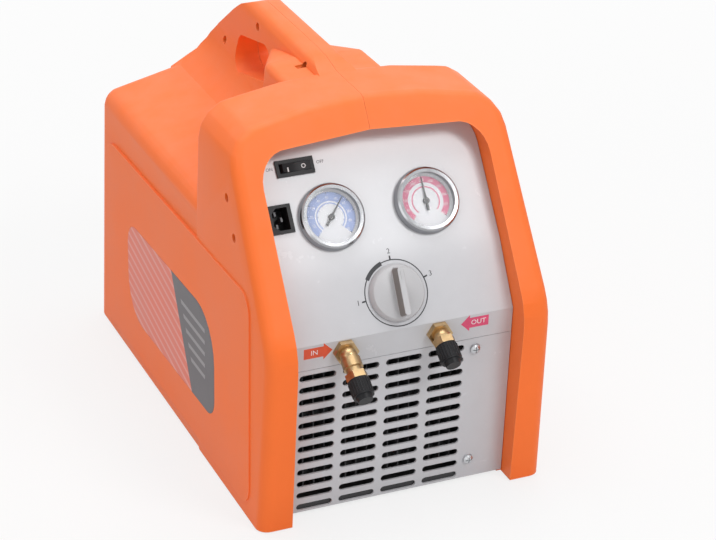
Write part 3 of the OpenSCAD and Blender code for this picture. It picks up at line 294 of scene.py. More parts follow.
def brushed_group():
    """Fine lines along X, for rolled, drawn or brushed metal."""
    tree, given, out = new_group(
        "Brushed lines", (("Scale", 900.0), ("Mottle Scale", 30.0)), ("Height", "Mottle")
    )
    place = object_place(tree)
    stretch = (0.03, 1.0, 1.0)
    drawn = add_node(tree, "ShaderNodeMapping", {"Vector": place, "Scale": stretch}).outputs[0]
    lines = noise(tree, drawn, given.outputs["Scale"], detail=2.0)
    slow = noise(tree, place, given.outputs["Mottle Scale"], detail=4.0)
    tree.links.new(lines, out.inputs["Height"])
    tree.links.new(slow, out.inputs["Mottle"])
    return tree


def wear_group():
    """Mask of rubbed edges: where a rounded normal leaves the true one, broken up by noise."""
    tree, given, out = new_group("Rubbed edges", (("Radius", 0.0015), ("Amount", 0.5)), ("Mask",))
    speck_scale, gain = 160.0, 6.0
    rounded = add_node(tree, "ShaderNodeBevel", {"Radius": given.outputs["Radius"]}, samples=4)
    surface = tree.nodes.new("ShaderNodeNewGeometry")
    facing = add_node(
        tree, "ShaderNodeVectorMath",
        {0: rounded.outputs[0], 1: surface.outputs["True Normal"]}, operation="DOT_PRODUCT",
    )
    edge = math_node(tree, "SUBTRACT", 1.0, facing.outputs["Value"], clamp=True)
    speck = noise(tree, object_place(tree), speck_scale, detail=4.0)
    broken = math_node(tree, "MULTIPLY", edge, speck)
    scaled = math_node(tree, "MULTIPLY", broken, gain, clamp=True)
    mask = math_node(tree, "MULTIPLY", scaled, given.outputs["Amount"])
    tree.links.new(mask, out.inputs["Mask"])
    return tree


def dust_and_sheen_group():
    """Mask of light dust that settles on faces turned up, which on the shell also serves as painted sheen that
    whitens its tops.
    """
    tree, given, out = new_group("Settled dust and sheen", (("Amount", 0.1),), ("Mask",))
    steepest, cloud_scale = 0.35, 45.0
    surface = tree.nodes.new("ShaderNodeNewGeometry")
    facing = add_node(tree, "ShaderNodeSeparateXYZ", {0: surface.outputs["Normal"]})
    up = math_node(tree, "SUBTRACT", facing.outputs["Z"], steepest, clamp=True)
    cloud = noise(tree, object_place(tree), cloud_scale, detail=6.0)
    patchy = math_node(tree, "MULTIPLY", up, cloud)
    mask = math_node(tree, "MULTIPLY", patchy, given.outputs["Amount"])
    tree.links.new(mask, out.inputs["Mask"])
    return tree


MADE_GROUPS = {}


def shared_group(maker):
    """The node group of a maker function, made at its first use."""
    if maker not in MADE_GROUPS:
        MADE_GROUPS[maker] = maker()
    return MADE_GROUPS[maker]


def place_group(tree, maker, **values):
    node = tree.nodes.new("ShaderNodeGroup")
    node.node_tree = shared_group(maker)
    for label, value in values.items():
        node.inputs[label.replace("_", " ")].default_value = value
    return node


# Finishes

# Pale dust colour, which on the shell also gives painted sheen to the faces turned up
DUST_AND_SHEEN_COLOR = (0.72, 0.69, 0.64)
# Stretch of the mottle's noise that is spread over the tones
MOTTLE_RANGE = (0.25, 0.75)
# Share of the mottle that turns paler than the colour
PALER_SHARE = 0.4
# Roughness lost and gained over the mottle
GLOSS_SPREAD = (-0.06, 0.08)
# Height of the grain
RELIEF = 0.4 * MM


def opaque(color):
    return (*color, 1.0)


def new_material(name):
    material = bpy.data.materials.new(name)
    material.use_nodes = True
    tree = material.node_tree
    return material, tree, tree.nodes["Principled BSDF"]


def surface_finish(
    name, color, rough, metal=0.0, shine=0.5, texture=grain_group, scale=900.0, mottle_scale=14.0,
    bump=0.08, mottle=0.12, gloss_range=1.0, wear=0.0, wear_color=(1, 1, 1), wear_radius=1.2 * MM,
    dust_and_sheen=0.0,
):
    """A finish with grain, tone and gloss that vary, rubbed edges, and dust that on the shell also serves as
    painted sheen on the faces turned up.

    Its colour is a plain one, or a function that paints one into the material's nodes.
    """
    material, tree, shader = new_material(name)
    grain = place_group(tree, texture, Scale=scale, Mottle_Scale=mottle_scale)
    slow = grain.outputs["Mottle"]
    painted = color(tree) if callable(color) else opaque(color)
    tone = map_range(tree, slow, MOTTLE_RANGE, (1.0 - mottle, 1.0 + mottle * PALER_SHARE))
    toned = mix_color(tree, 1.0, painted, tone, blend="MULTIPLY")
    if wear:
        rubbed = place_group(tree, wear_group, Radius=wear_radius, Amount=wear)
        toned = mix_color(tree, rubbed.outputs["Mask"], toned, opaque(wear_color))
    # Dust on faces turned up; on the shell the same mask is painted sheen for the light the tops catch
    if dust_and_sheen:
        settled = place_group(tree, dust_and_sheen_group, Amount=dust_and_sheen)
        toned = mix_color(tree, settled.outputs["Mask"], toned, opaque(DUST_AND_SHEEN_COLOR))
    tree.links.new(toned, shader.inputs["Base Color"])
    gloss = map_range(
        tree, slow, MOTTLE_RANGE, [rough + spread * gloss_range for spread in GLOSS_SPREAD]
    )
    tree.links.new(gloss, shader.inputs["Roughness"])
    shader.inputs["Metallic"].default_value = metal
    shader.inputs["Specular IOR Level"].default_value = shine
    relief = add_node(
        tree, "ShaderNodeBump",
        {"Strength": bump, "Distance": RELIEF, "Height": grain.outputs["Height"]},
    )
    tree.links.new(relief.outputs[0], shader.inputs["Normal"])
    return material


def clear_lens_finish(name):
    """Clear lens: mostly see-through, with a gloss of its own."""
    material, tree, shader = new_material(name)
    grain = place_group(tree, grain_group, Scale=240.0, Mottle_Scale=60.0)
    for socket, spread in (("Roughness", (0.03, 0.12)), ("Alpha", (0.03, 0.06))):
        value = map_range(tree, grain.outputs["Mottle"], (0.3, 0.8), spread)
        tree.links.new(value, shader.inputs[socket])
    shader.inputs["Base Color"].default_value = (0.95, 0.97, 1.0, 1.0)
    return material


def ink_finish(name, color):
    return surface_finish(name, color, 0.48, scale=2200, mottle_scale=120, bump=0.03, mottle=0.14)


def label_art(colors):
    """Two-tone film: a pale part with slanting stripes, a dark part with ruled bars."""
    low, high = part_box("left_label")
    # The border's place along the film at its foot, and how far it leans over the film's height
    border_foot, border_lean, border_edge = 0.24, 0.24, 400.0
    stripes, stripe_lean, stripe_share, stripe_strength = 10.0, 0.5, 0.3, 0.5
    bars, bar_share, bar_strength = 9.0, 0.34, 0.55
    # Room round the bars: from the border, from the film's end, from its foot and from its top
    border_room, end_room, bars_from, bars_to = 0.07, 0.1, 0.3, 0.86

    def paint(tree):
        def value(operation, a, b, clamp=False):
            return math_node(tree, operation, a, b, clamp)

        split = add_node(tree, "ShaderNodeSeparateXYZ", {0: object_place(tree)}).outputs
        along = map_range(tree, split["Y"], (low.y, high.y), (0.0, 1.0), clamp=False)
        up = map_range(tree, split["Z"], (low.z, high.z), (0.0, 1.0), clamp=False)
        border = value("ADD", border_foot, value("MULTIPLY", up, border_lean))
        past = value("SUBTRACT", border, along)
        dark = value("MULTIPLY", past, border_edge, clamp=True)
        slant = value("SUBTRACT", up, value("MULTIPLY", along, stripe_lean))
        wave = value("FRACT", value("MULTIPLY", slant, stripes), 0.0)
        stripe = value("MULTIPLY", value("LESS_THAN", wave, stripe_share), stripe_strength)
        pale_side = mix_color(tree, stripe, opaque(colors.label_pale), opaque(colors.label_stripe))
        rule = value("FRACT", value("MULTIPLY", up, bars), 0.0)
        bar = value("LESS_THAN", rule, bar_share)
        for limit in (
            value("GREATER_THAN", past, border_room),
            value("GREATER_THAN", along, end_room),
            value("GREATER_THAN", up, bars_from),
            value("LESS_THAN", up, bars_to),
        ):
            bar = value("MULTIPLY", bar, limit)
        shade = value("MULTIPLY", bar, bar_strength)
        dark_side = mix_color(tree, shade, opaque(colors.label_dark), opaque(colors.label_bar))
        return mix_color(tree, dark, pale_side, dark_side)

    return paint


def knob_color_and_shade(colors):
    """Pale disc and grip, with painted shade and dark reflection on the grip's flanks, told apart by height and
    facing.
    """
    seat, axis = (tuple(JOINTS["knob_turn"][key]) for key in ("pos_m", "axis"))
    shade_from, side_on = 7.5 * MM, 0.6

    def paint(tree):
        above = add_node(
            tree, "ShaderNodeVectorMath", {0: object_place(tree), 1: seat}, operation="SUBTRACT"
        )
        rise = add_node(
            tree, "ShaderNodeVectorMath", {0: above.outputs[0], 1: axis}, operation="DOT_PRODUCT"
        )
        grip = math_node(tree, "GREATER_THAN", rise.outputs["Value"], shade_from)
        facing = tree.nodes.new("ShaderNodeTexCoord").outputs["Normal"]
        across = add_node(tree, "ShaderNodeSeparateXYZ", {0: facing}).outputs["X"]
        shaded_flank = math_node(tree, "GREATER_THAN", math_node(tree, "ABSOLUTE", across), side_on)
        # Painted shade: the grip's faces turned sideways take the dark grip colour, for the shade and dark
        # reflection on them
        sides = math_node(tree, "MULTIPLY", grip, shaded_flank)
        return mix_color(tree, sides, opaque(colors.knob), opaque(colors.grip))

    return paint


def node_finishes(colors):
    """One finish for each material slot of the record."""
    looks = {
        # The shell's dust amount also whitens its tops as painted sheen for the light they catch
        "orange_shell": dict(
            color=colors.shell, rough=0.44, shine=0.15, scale=1400, mottle_scale=9, bump=0.10,
            mottle=0.05, wear=0.35, wear_color=(1.0, 0.34, 0.12), wear_radius=2.0 * MM, dust_and_sheen=0.2,
        ),
        "label_film": dict(
            color=label_art(colors), rough=0.34, shine=0.2, scale=500, bump=0.03, mottle=0.08
        ),
        "panel_paint": dict(
            color=colors.panel, rough=0.26, scale=1900, mottle_scale=60, bump=0.05, mottle=0.03,
            gloss_range=0.25, wear=0.4, wear_color=(0.45, 0.45, 0.47), wear_radius=0.7 * MM,
        ),
        "zinc_steel": dict(
            color=(0.60, 0.61, 0.63), rough=0.34, metal=1.0, texture=brushed_group, scale=1500,
            mottle_scale=60, bump=0.05, mottle=0.22,
        ),
        # On the shell's screws this finish is painted shade in their pockets, and on the condenser tube it is
        # painted shade and black coating both
        "dark_steel": dict(
            color=(0.022, 0.022, 0.024), rough=0.48, scale=1500, bump=0.08, mottle=0.2, dust_and_sheen=0.1
        ),
        "black_rubber": dict(
            color=(0.02, 0.02, 0.021), rough=0.72, scale=1100, bump=0.16, mottle=0.25, dust_and_sheen=0.3
        ),
        "bezel_metal": dict(
            color=(0.40, 0.405, 0.42), rough=0.2, metal=1.0, scale=900, mottle_scale=40, bump=0.02,
            mottle=0.12,
        ),
        "dial_white": dict(color=(0.80, 0.80, 0.83), rough=0.45, scale=1500, bump=0.02, mottle=0.04),
        "needle_black": dict(
            color=(0.012, 0.012, 0.014), rough=0.38, scale=1500, bump=0.03, mottle=0.1
        ),
        "black_plastic": dict(
            color=(0.018, 0.018, 0.02), rough=0.36, shine=0.15, scale=1600, mottle_scale=50,
            bump=0.08, mottle=0.25, wear=0.2, wear_color=(0.08, 0.08, 0.085), wear_radius=0.6 * MM,
        ),
        # Its colour includes painted shade and dark reflection on the grip's flanks
        "knob_plastic": dict(
            color=knob_color_and_shade(colors), rough=0.36, scale=1700, mottle_scale=30, bump=0.05, mottle=0.06,
            wear=0.25, wear_color=(0.40, 0.40, 0.40), wear_radius=0.7 * MM,
        ),
        "brass": dict(
            color=(0.52, 0.36, 0.19), rough=0.33, metal=1.0, scale=1300, mottle_scale=110, bump=0.06,
            mottle=0.35, wear=0.5, wear_color=(0.74, 0.60, 0.40), wear_radius=0.6 * MM,
        ),
        # Dark grey fins: partly the coil's black coating, partly painted shade for the dark seen through the vent
        # slots; on the power inlet's pins this finish is painted shade in their socket
        "fin_alloy": dict(
            color=(0.10, 0.10, 0.105), rough=0.5, metal=0.6, scale=1200, bump=0.05, mottle=0.2
        ),
        "cast_alloy": dict(
            color=(0.36, 0.37, 0.38), rough=0.52, metal=1.0, scale=700, bump=0.22, mottle=0.25
        ),
        "copper": dict(
            color=(0.62, 0.25, 0.12), rough=0.33, metal=1.0, texture=brushed_group, scale=900,
            mottle_scale=50, bump=0.04, mottle=0.35,
        ),
        "motor_paint": dict(
            color=(0.032, 0.034, 0.037), rough=0.45, scale=1200, bump=0.10, mottle=0.2, dust_and_sheen=0.2
        ),
        "terminal_plastic": dict(
            color=(0.62, 0.61, 0.54), rough=0.45, scale=1400, bump=0.06, mottle=0.08
        ),
    }
    finishes = {slot: surface_finish(slot, **look) for slot, look in looks.items()}
    finishes["clear_lens"] = clear_lens_finish("clear_lens")
    return finishes


# Meshes

# Font size that gives a capital of height one
FONT_SIZE = 1.4


def smoothing_group():
    """Modifier nodes that join the faces' shared corners and smooth every gentle edge."""
    tree = bpy.data.node_groups.new("Join and smooth", "GeometryNodeTree")
    for side in ("INPUT", "OUTPUT"):
        tree.interface.new_socket(name="Geometry", in_out=side, socket_type="NodeSocketGeometry")
    angle = tree.interface.new_socket(name="Angle", in_out="INPUT", socket_type=FLOAT)
    angle.default_value = math.radians(28)
    given, out = tree.nodes.new("NodeGroupInput"), tree.nodes.new("NodeGroupOutput")
    weld = add_node(
        tree, "GeometryNodeMergeByDistance",
        {"Geometry": given.outputs["Geometry"], "Distance": 0.002 * MM},
    )
    bend = tree.nodes.new("GeometryNodeInputMeshEdgeAngle")
    sharp = add_node(
        tree, "FunctionNodeCompare",
        {0: bend.outputs["Unsigned Angle"], 1: given.outputs["Angle"]}, operation="GREATER_THAN",
    )
    smooth = add_node(
        tree, "GeometryNodeSetShadeSmooth",
        {"Geometry": weld.outputs[0], "Shade Smooth": True}, domain="FACE",
    )
    crisp = add_node(
        tree, "GeometryNodeSetShadeSmooth",
        {"Geometry": smooth.outputs[0], "Selection": sharp.outputs[0], "Shade Smooth": False},
        domain="EDGE",
    )
    tree.links.new(crisp.outputs[0], out.inputs[0])
    return tree


def smooth_solid(solid):
    modifier = solid.modifiers.new("join_and_smooth", "NODES")
    modifier.node_group = shared_group(smoothing_group)


def new_object(name, data):
    thing = bpy.data.objects.new(name, data)
    bpy.context.scene.collection.objects.link(thing)
    return thing


def link_piece(name, bm, material, body):
    mesh = bpy.data.meshes.new(name)
    bmesh.ops.recalc_face_normals(bm, faces=bm.faces)
    bm.to_mesh(mesh)
    bm.free()
    mesh.materials.append(material)
    piece = new_object(name, mesh)
    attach(piece, body)
    return piece


def stack(bm, levels, place):
    """A closed form through outlines of as many points, each at its own height."""
    rows = [[bm.verts.new(place @ Vector((x, y, z))) for x, y in outline] for z, outline in levels]
    bm.faces.new(rows[0][::-1])
    bm.faces.new(rows[-1])
    for low, high in zip(rows, rows[1:]):
        for i in range(len(low)):
            j = (i + 1) % len(low)
            bm.faces.new((low[i], low[j], high[j], high[i]))


def prism(bm, outline, height, place):
    """A closed plate of the given outline, standing on the XY plane of place."""
    stack(bm, ((0, outline), (height, outline)), place)


def polar(radius, angle):
    """A point at an angle clockwise from straight up."""
    return (radius * math.sin(angle), radius * math.cos(angle))


def bar_outline(half_width, half_length, count=10):
    """A bar with round ends, along Y."""
    points = []
    for side in (1, -1):
        for i in range(count + 1):
            x, y = polar(half_width, math.pi * (i / count - side / 2))
            points.append((x, y + side * (half_length - half_width)))
    return points


def arc_band(bm, inner, outer, start, end, height, place, step=math.radians(4)):
    """A closed ring segment between two angles, or a whole ring."""
    whole = abs(end - start) > math.tau - 1e-6
    count = max(2, math.ceil(abs(end - start) / step))
    section = ((inner, 0), (outer, 0), (outer, height), (inner, height))
    rows = []
    for i in range(count if whole else count + 1):
        angle = start + (end - start) * i / count
        rows.append([bm.verts.new(place @ Vector((*polar(r, angle), z))) for r, z in section])
    for i in range(count):
        a, b = rows[i], rows[(i + 1) % len(rows)]
        for k in range(len(section)):
            after = (k + 1) % len(section)
            bm.faces.new((a[k], a[after], b[after], b[k]))
    if not whole:
        bm.faces.new(rows[0][::-1])
        bm.faces.new(rows[-1])


def radial_bar(bm, inner, outer, angle, width, height, place):
    turned = place @ Matrix.Rotation(-angle, 4, "Z")
    half = width / 2
    prism(bm, [(-half, inner), (half, inner), (half, outer), (-half, outer)], height, turned)


def letters(bm, text, size, height, place, at=(0, 0)):
    """Raised characters centred on a point of place."""
    curve = bpy.data.curves.new("characters", "FONT")
    curve.body = text
    curve.size = size * FONT_SIZE
    curve.align_x, curve.align_y = "CENTER", "CENTER"
    curve.extrude = height / 2
    curve.resolution_u = 3
    holder = new_object("characters", curve)
    graph = bpy.context.evaluated_depsgraph_get()
    mesh = bpy.data.meshes.new_from_object(holder.evaluated_get(graph))
    mesh.transform(place @ Matrix.Translation((*at, height / 2)))
    bm.from_mesh(mesh)
    bpy.data.objects.remove(holder)
    bpy.data.curves.remove(curve)
    bpy.data.meshes.remove(mesh)


def facing_matrix(at, normal):
    """Place on a face: X to the right, Y up the face, Z out of it."""
    out = Vector(normal).normalized()
    up = out.cross(Vector((1, 0, 0))).normalized()
    right = up.cross(out)
    turn = Matrix((right, up, out)).transposed().to_4x4()
    return Matrix.Translation(at) @ turn


def joint_seat(name):
    return facing_matrix(Vector(JOINTS[name]["pos_m"]), JOINTS[name]["axis"])


def front_face(node, x, z):
    """Place on a node's face where a line from the front meets it."""
    mesh = frame["nodes"][node].data
    tree = BVHTree.FromPolygons([v.co for v in mesh.vertices], [p.vertices for p in mesh.polygons])
    before = CAD_BOX[0].y - 0.1
    at, normal, _, _ = tree.ray_cast(Vector((x, before, z)), Vector((0, 1, 0)))
    if at is None:
        raise RuntimeError(f"nothing of {node} lies behind x {x}, z {z}")
    return facing_matrix(at, normal if normal.y < 0 else -normal)


# Operators


class RecoveryOperator(Operator):
    """Base of the machine's operators"""

    bl_options = {"REGISTER", "UNDO"}


class RECOVERY_OT_finishes(RecoveryOperator):
    """Gives every solid its finish and its smooth shading, with darker finishes as painted shade on the recessed
    solids
    """

    bl_idname = "recovery.finishes"
    bl_label = "Finish the Solids"

    def execute(self, context):
        finishes = node_finishes(context.scene.recovery_colors)
        for node, slot in SLOTS.items():
            solid = frame["nodes"][node]
            solid.data.materials.clear()
            solid.data.materials.append(finishes[RECESS_SHADE.get(node, slot)])
            smooth_solid(solid)
        return {"FINISHED"}


class RECOVERY_OT_gauge_faces(RecoveryOperator):
    """Prints the scales on both gauge dials"""

    bl_idname = "recovery.gauge_faces"
    bl_label = "Print the Gauge Faces"

    def execute(self, context):
        colors, dials = context.scene.recovery_colors, context.scene.recovery_dials
        film = context.scene.recovery_marks.film
        ink = ink_finish("dial_ink", colors.ink)
        white = ink_finish("dial_white_ink", colors.dial_digits)
        for side, color, inner, outer, unit in (
            ("low", colors.low_band, dials.low_inner, dials.low_outer, dials.low_unit),
            ("high", colors.high_band, dials.high_inner, dials.high_outer, dials.high_unit),
        ):
            tint = ink_finish(side + "_band_ink", color)
            place = joint_seat(side + "_needle_turn")
            above = place @ Matrix.Translation((0, 0, film))
            band = self.band_mesh(dials, film, inner, outer, place)
            link_piece(side + "_gauge_band", band, tint, BODY)
            marks = self.marks_mesh(dials, film, place, above)
            link_piece(side + "_gauge_marks", marks, ink, BODY)
            digits = self.digits_mesh(dials, film, inner, unit, above)
            link_piece(side + "_gauge_digits", digits, white, BODY)
        return {"FINISHED"}

    def step_angle(self, dials, step):
        return dials.sweep * (step / dials.steps - 0.5)

    def band_mesh(self, dials, film, inner, outer, place):
        bm = bmesh.new()
        first, last = self.step_angle(dials, 0), self.step_angle(dials, dials.steps)
        ring_outer = dials.ring_inner + dials.ring_width
        arc_band(bm, inner, outer, first, last, film, place)
        arc_band(bm, dials.ring_inner, ring_outer, first, last, film, place)
        return bm

    def marks_mesh(self, dials, film, place, above):
        """Scale marks on top of the band, and one inside the thin ring at each number."""
        bm = bmesh.new()
        main_inner, fine_inner = dials.radius - dials.main_length, dials.radius - dials.fine_length
        mark_inner = dials.ring_inner - dials.ring_mark_length
        for step in range(dials.steps + 1):
            angle = self.step_angle(dials, step)
            if step % dials.group:
                radial_bar(bm, fine_inner, dials.radius, angle, dials.fine_width, film, above)
            else:
                radial_bar(bm, main_inner, dials.radius, angle, dials.main_width, film, above)
                width = dials.ring_mark_width
                radial_bar(bm, mark_inner, dials.ring_inner, angle, width, film, place)
        return bm

    def digits_mesh(self, dials, film, inner, unit, above):
        bm = bmesh.new()
        outer = dials.radius - dials.main_length - dials.digit_gap
        for step in range(0, dials.steps + 1, dials.group):
            number = str(step // dials.group * unit)
            at = polar((inner + outer) / 2, self.step_angle(dials, step))
            letters(bm, number, dials.digit, film / 2, above, at)
        return bm


class RECOVERY_OT_knob(RecoveryOperator):
    """Builds the selector knob: stem, coned disc and a straight grip with a raised pointer"""

    bl_idname = "recovery.knob"
    bl_label = "Build the Knob"

    def execute(self, context):
        knob = context.scene.recovery_knob
        place = joint_seat("knob_turn")
        bm = bmesh.new()
        self.add_disc(bm, knob, place)
        self.add_grip(bm, knob, place)
        finish = frame["nodes"]["valve_knob"].data.materials[0]
        piece = link_piece("selector_knob", bm, finish, "knob")
        smooth_solid(piece)
        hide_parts("valve_knob")
        return {"FINISHED"}

    def add_disc(self, bm, knob, place, sides=96):
        top = knob.disc_top
        profile = (
            (-knob.stem_length, knob.stem_radius),
            (knob.disc_low, knob.stem_radius),
            (knob.disc_low, knob.radius),
            (knob.rim_top, knob.radius),
            (top - 1.0 * MM, knob.radius - 1.6 * MM),
            (top - 0.4 * MM, knob.radius - 1.9 * MM),
            (top, knob.radius - 2.7 * MM),
        )
        angles = [math.tau * i / sides for i in range(sides)]
        stack(bm, [(z, [polar(radius, a) for a in angles]) for z, radius in profile], place)

    def add_grip(self, bm, knob, place):
        half, reach = knob.grip_width / 2, knob.grip_length / 2
        foot, top = knob.disc_top - 0.2 * MM, knob.grip_top
        # Height, and what is added there to half the width and to half the length
        levels = (
            (foot, 0.6 * MM, 0.2 * MM),
            (foot + 1.0 * MM, 0.2 * MM, 0.0),
            (top - 1.2 * MM, 0.0, -0.5 * MM),
            (top - 0.4 * MM, -0.25 * MM, -0.8 * MM),
            (top, -0.8 * MM, -1.4 * MM),
        )
        stack(bm, [(z, bar_outline(half + wide, reach + long)) for z, wide, long in levels], place)
        pointer = bar_outline(knob.pointer_width / 2, knob.pointer_length / 2, count=6)
        tip = place @ Matrix.Translation((0, reach - knob.pointer_inset, top))
        prism(bm, pointer, knob.pointer_rise, tip)


class RECOVERY_OT_knob_marks(RecoveryOperator):
    """Prints the ring and the positions round the selector knob"""

    bl_idname = "recovery.knob_marks"
    bl_label = "Print the Knob Ring"

    # Angles clockwise from the top
    positions = (("1", math.radians(-95)), ("2", 0.0), ("3", math.radians(72)))
    thick_stretch = (math.radians(-58), math.radians(-18))

    def execute(self, context):
        marks = context.scene.recovery_marks
        ink = ink_finish("panel_ink", context.scene.recovery_colors.ink)
        place = joint_seat("knob_turn")
        film, radius, half = marks.film, marks.ring_radius, marks.ring_width / 2
        bm = bmesh.new()
        arc_band(bm, radius - half, radius + half, 0, math.tau, film, place)
        for _, angle in self.positions:
            tip = radius + marks.tick_reach
            radial_bar(bm, radius - half, tip, angle, marks.tick_width, film, place)
        for inner, outer in ((-marks.thick_inside, -half), (half, marks.thick_outside)):
            arc_band(bm, radius + inner, radius + outer, *self.thick_stretch, film, place)
        for number, angle in self.positions:
            spot = place @ Vector((*polar(radius + marks.digit_reach, angle), 0))
            letters(bm, number, marks.digit, film, front_face("control_panel", spot.x, spot.z))
        link_piece("knob_ring_print", bm, ink, BODY)
        return {"FINISHED"}


class RECOVERY_OT_switch_marks(RecoveryOperator):
    """Prints ON and OFF beside the switch and the two signs on its rocker"""

    bl_idname = "recovery.switch_marks"
    bl_label = "Print the Switch Marks"

    def execute(self, context):
        colors, marks = context.scene.recovery_colors, context.scene.recovery_marks
        pivot = Vector(JOINTS["switch_rock"]["pos_m"])
        level = pivot.z + marks.switch_lift
        self.print_words(marks, level, ink_finish("switch_ink", colors.ink))
        self.print_signs(marks, pivot.x, level, ink_finish("rocker_ink", colors.rocker_signs))
        return {"FINISHED"}

    def print_words(self, marks, level, ink):
        low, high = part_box("switch_frame")
        bm = bmesh.new()
        for word, x in (("ON", low.x - marks.on_gap), ("OFF", high.x + marks.off_gap)):
            letters(bm, word, marks.switch_word, marks.film, front_face("control_panel", x, level))
        link_piece("switch_words", bm, ink, BODY)

    def print_signs(self, marks, middle, level, white):
        left = front_face("switch_rocker", middle - marks.sign_reach, level)
        right = front_face("switch_rocker", middle + marks.sign_reach, level)
        bar, tall, rise = marks.sign_bar / 2, marks.sign_height / 2, marks.sign_rise
        step = math.radians(12)
        bm = bmesh.new()
        prism(bm, [(-bar, -tall), (bar, -tall), (bar, tall), (-bar, tall)], rise, left)
        arc_band(bm, tall - marks.sign_line, tall, 0, math.tau, rise, right, step)
        link_piece("rocker_signs", bm, white, "rocker")


class RECOVERY_OT_flow_arrows(RecoveryOperator):
    """Prints the flow arrows beside the two ports"""

    bl_idname = "recovery.flow_arrows"
    bl_label = "Print the Flow Arrows"

    # Height of an arrow's shaft, as a share of its head's
    shaft = 0.62

    def execute(self, context):
        colors, marks = context.scene.recovery_colors, context.scene.recovery_marks
        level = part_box("control_panel")[0].z + marks.arrow_level
        for port, offset, way, word, color in (
            ("inlet", -marks.inlet_arrow_gap, 1, "IN", colors.inlet_arrow),
            ("outlet", marks.outlet_arrow_gap, -1, "OUT", colors.outlet_arrow),
        ):
            name = port + "_arrow"
            low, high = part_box(port + "_port")
            place = front_face("control_panel", (low.x + high.x) / 2 + offset, level)
            plate = self.arrow_mesh(marks, way, place)
            link_piece(name, plate, ink_finish(name + "_ink", color), BODY)
            text = self.word_mesh(marks, way, word, place)
            white = ink_finish(name + "_word_ink", colors.arrow_words)
            link_piece(name + "_word", text, white, BODY)
        return {"FINISHED"}

    def arrow_mesh(self, marks, way, place):
        """An arrow that points to +X where way is 1, and to -X where it is -1."""
        bm = bmesh.new()
        long, tall = marks.arrow_length / 2, marks.arrow_height / 2
        neck, body = long - tall, tall * self.shaft
        points = (
            (-long, -body), (neck, -body), (neck, -tall), (long, 0),
            (neck, tall), (neck, body), (-long, body),
        )
        outline = [(x * way, y) for x, y in points]
        prism(bm, outline[::way], marks.film, place)
        return bm

    def word_mesh(self, marks, way, word, place):
        bm = bmesh.new()
        raised = place @ Matrix.Translation((-way * marks.arrow_word_shift, 0, marks.film))
        letters(bm, word, marks.arrow_word, marks.film / 2, raised)
        return bm


# Name, place, width in metres and power in watts
LAMPS = (
    ("key", (0.77, -1.73, 1.88), 0.8, 19.5),
    ("fill", (-1.6, -1.5, 0.6), 1.6, 8),
    ("top", (0.0, 0.4, 2.2), 1.8, 29),
)
LAMP_AIM = (0, 0, 0.15)
FLOOR_HALF = 6
# Distances from the machine over which the floor fades to plain white
FLOOR_FADE = (0.35, 1.6)


def background_ray(tree):
    """One for rays that see the background straight, in a gloss or through glass."""
    path = tree.nodes.new("ShaderNodeLightPath").outputs
    seen = math_node(tree, "MAXIMUM", path["Is Camera Ray"], path["Is Transmission Ray"])
    return math_node(tree, "MAXIMUM", seen, path["Is Glossy Ray"])


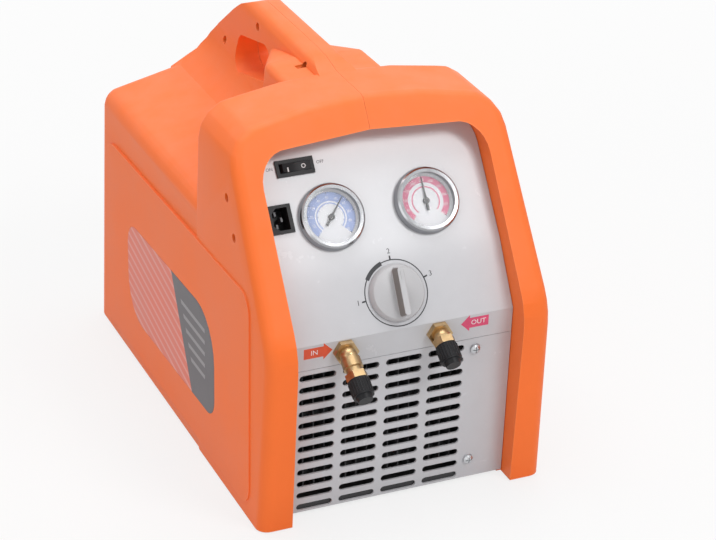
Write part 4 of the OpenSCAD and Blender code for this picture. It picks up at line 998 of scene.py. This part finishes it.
class RECOVERY_OT_stage(RecoveryOperator):
    """Sets the camera, the lamps, the sky and the floor"""

    bl_idname = "recovery.stage"
    bl_label = "Set the Stage"

    def execute(self, context):
        stage = context.scene.recovery_stage
        self.add_camera(context.scene, stage)
        self.add_lamps()
        self.add_sky(context.scene, stage)
        self.add_floor(stage)
        context.scene.view_settings.view_transform = "Standard"
        return {"FINISHED"}

    def add_camera(self, scene, stage):
        data = bpy.data.cameras.new("camera")
        data.lens = stage.lens
        data.sensor_width = 36
        data.sensor_fit = "HORIZONTAL"
        camera = new_object("camera", data)
        camera.location = stage.camera_at
        camera.rotation_euler = (math.pi / 2 - stage.camera_pitch, 0, -stage.camera_turn)
        scene.camera = camera

    def add_lamps(self):
        for name, at, size, power in LAMPS:
            data = bpy.data.lights.new(name, "AREA")
            data.size = size
            data.energy = power
            lamp = new_object(name, data)
            lamp.location = at
            aim = Vector(LAMP_AIM) - Vector(at)
            lamp.rotation_euler = aim.to_track_quat("-Z", "Y").to_euler()

    def add_sky(self, scene, stage):
        world = bpy.data.worlds.new("sky")
        world.use_nodes = True
        tree = world.node_tree
        light = tree.nodes["Background"]
        light.inputs["Color"].default_value = (1, 1, 1, 1)
        strength = map_range(tree, background_ray(tree), (0.0, 1.0), (stage.sky, 1.0))
        tree.links.new(strength, light.inputs["Strength"])
        scene.world = world

    def add_floor(self, stage):
        bm = bmesh.new()
        bmesh.ops.create_grid(bm, x_segments=8, y_segments=8, size=FLOOR_HALF)
        mesh = bpy.data.meshes.new("floor")
        bm.to_mesh(mesh)
        bm.free()
        mesh.materials.append(self.floor_finish(stage))
        floor = new_object("floor", mesh)

    def floor_finish(self, stage):
        """Pale floor that holds the shadow near the machine and fades to white further off."""
        material, tree, shader = new_material("pale_floor")
        shader.inputs["Base Color"].default_value = opaque(stage.floor)
        shader.inputs["Roughness"].default_value = 0.8
        glow = add_node(tree, "ShaderNodeEmission", {"Color": (1, 1, 1, 1), "Strength": 1.0})
        away = add_node(
            tree, "ShaderNodeVectorMath", {0: object_place(tree)}, operation="LENGTH"
        ).outputs["Value"]
        bright = map_range(tree, away, FLOOR_FADE, (stage.floor_glow, 1.0))
        share = math_node(tree, "MULTIPLY", background_ray(tree), bright)
        blend = add_node(
            tree, "ShaderNodeMixShader", {0: share, 1: shader.outputs[0], 2: glow.outputs[0]}
        )
        tree.links.new(blend.outputs[0], tree.nodes["Material Output"].inputs["Surface"])
        return material


class RECOVERY_PT_panel(Panel):
    """Lists the steps and the values of the machine"""

    bl_label = "Recovery Machine"
    bl_space_type = "VIEW_3D"
    bl_region_type = "UI"
    bl_category = "Recovery"

    def draw(self, context):
        for step in STEPS:
            self.layout.operator(step.bl_idname)
        for name, cls in VALUES.items():
            box = self.layout.box()
            box.label(text=cls.__doc__)
            for key in cls.__annotations__:
                box.prop(getattr(context.scene, name), key)


STEPS = (
    RECOVERY_OT_finishes,
    RECOVERY_OT_gauge_faces,
    RECOVERY_OT_knob,
    RECOVERY_OT_knob_marks,
    RECOVERY_OT_switch_marks,
    RECOVERY_OT_flow_arrows,
    RECOVERY_OT_stage,
)
VALUES = {
    "recovery_colors": RecoveryColors,
    "recovery_dials": RecoveryDials,
    "recovery_knob": RecoveryKnob,
    "recovery_marks": RecoveryMarks,
    "recovery_stage": RecoveryStage,
}
CLASSES = (*VALUES.values(), *STEPS, RECOVERY_PT_panel)


def register():
    for cls in CLASSES:
        bpy.utils.register_class(cls)
    for name, cls in VALUES.items():
        setattr(bpy.types.Scene, name, PointerProperty(type=cls))


def unregister():
    for name in VALUES:
        delattr(bpy.types.Scene, name)
    for cls in reversed(CLASSES):
        bpy.utils.unregister_class(cls)


def main():
    register()
    bpy.ops.recovery.finishes()
    bpy.ops.recovery.gauge_faces()
    bpy.ops.recovery.knob()
    bpy.ops.recovery.knob_marks()
    bpy.ops.recovery.switch_marks()
    bpy.ops.recovery.flow_arrows()
    bpy.ops.recovery.stage()


if __name__ == "__main__":
    main()
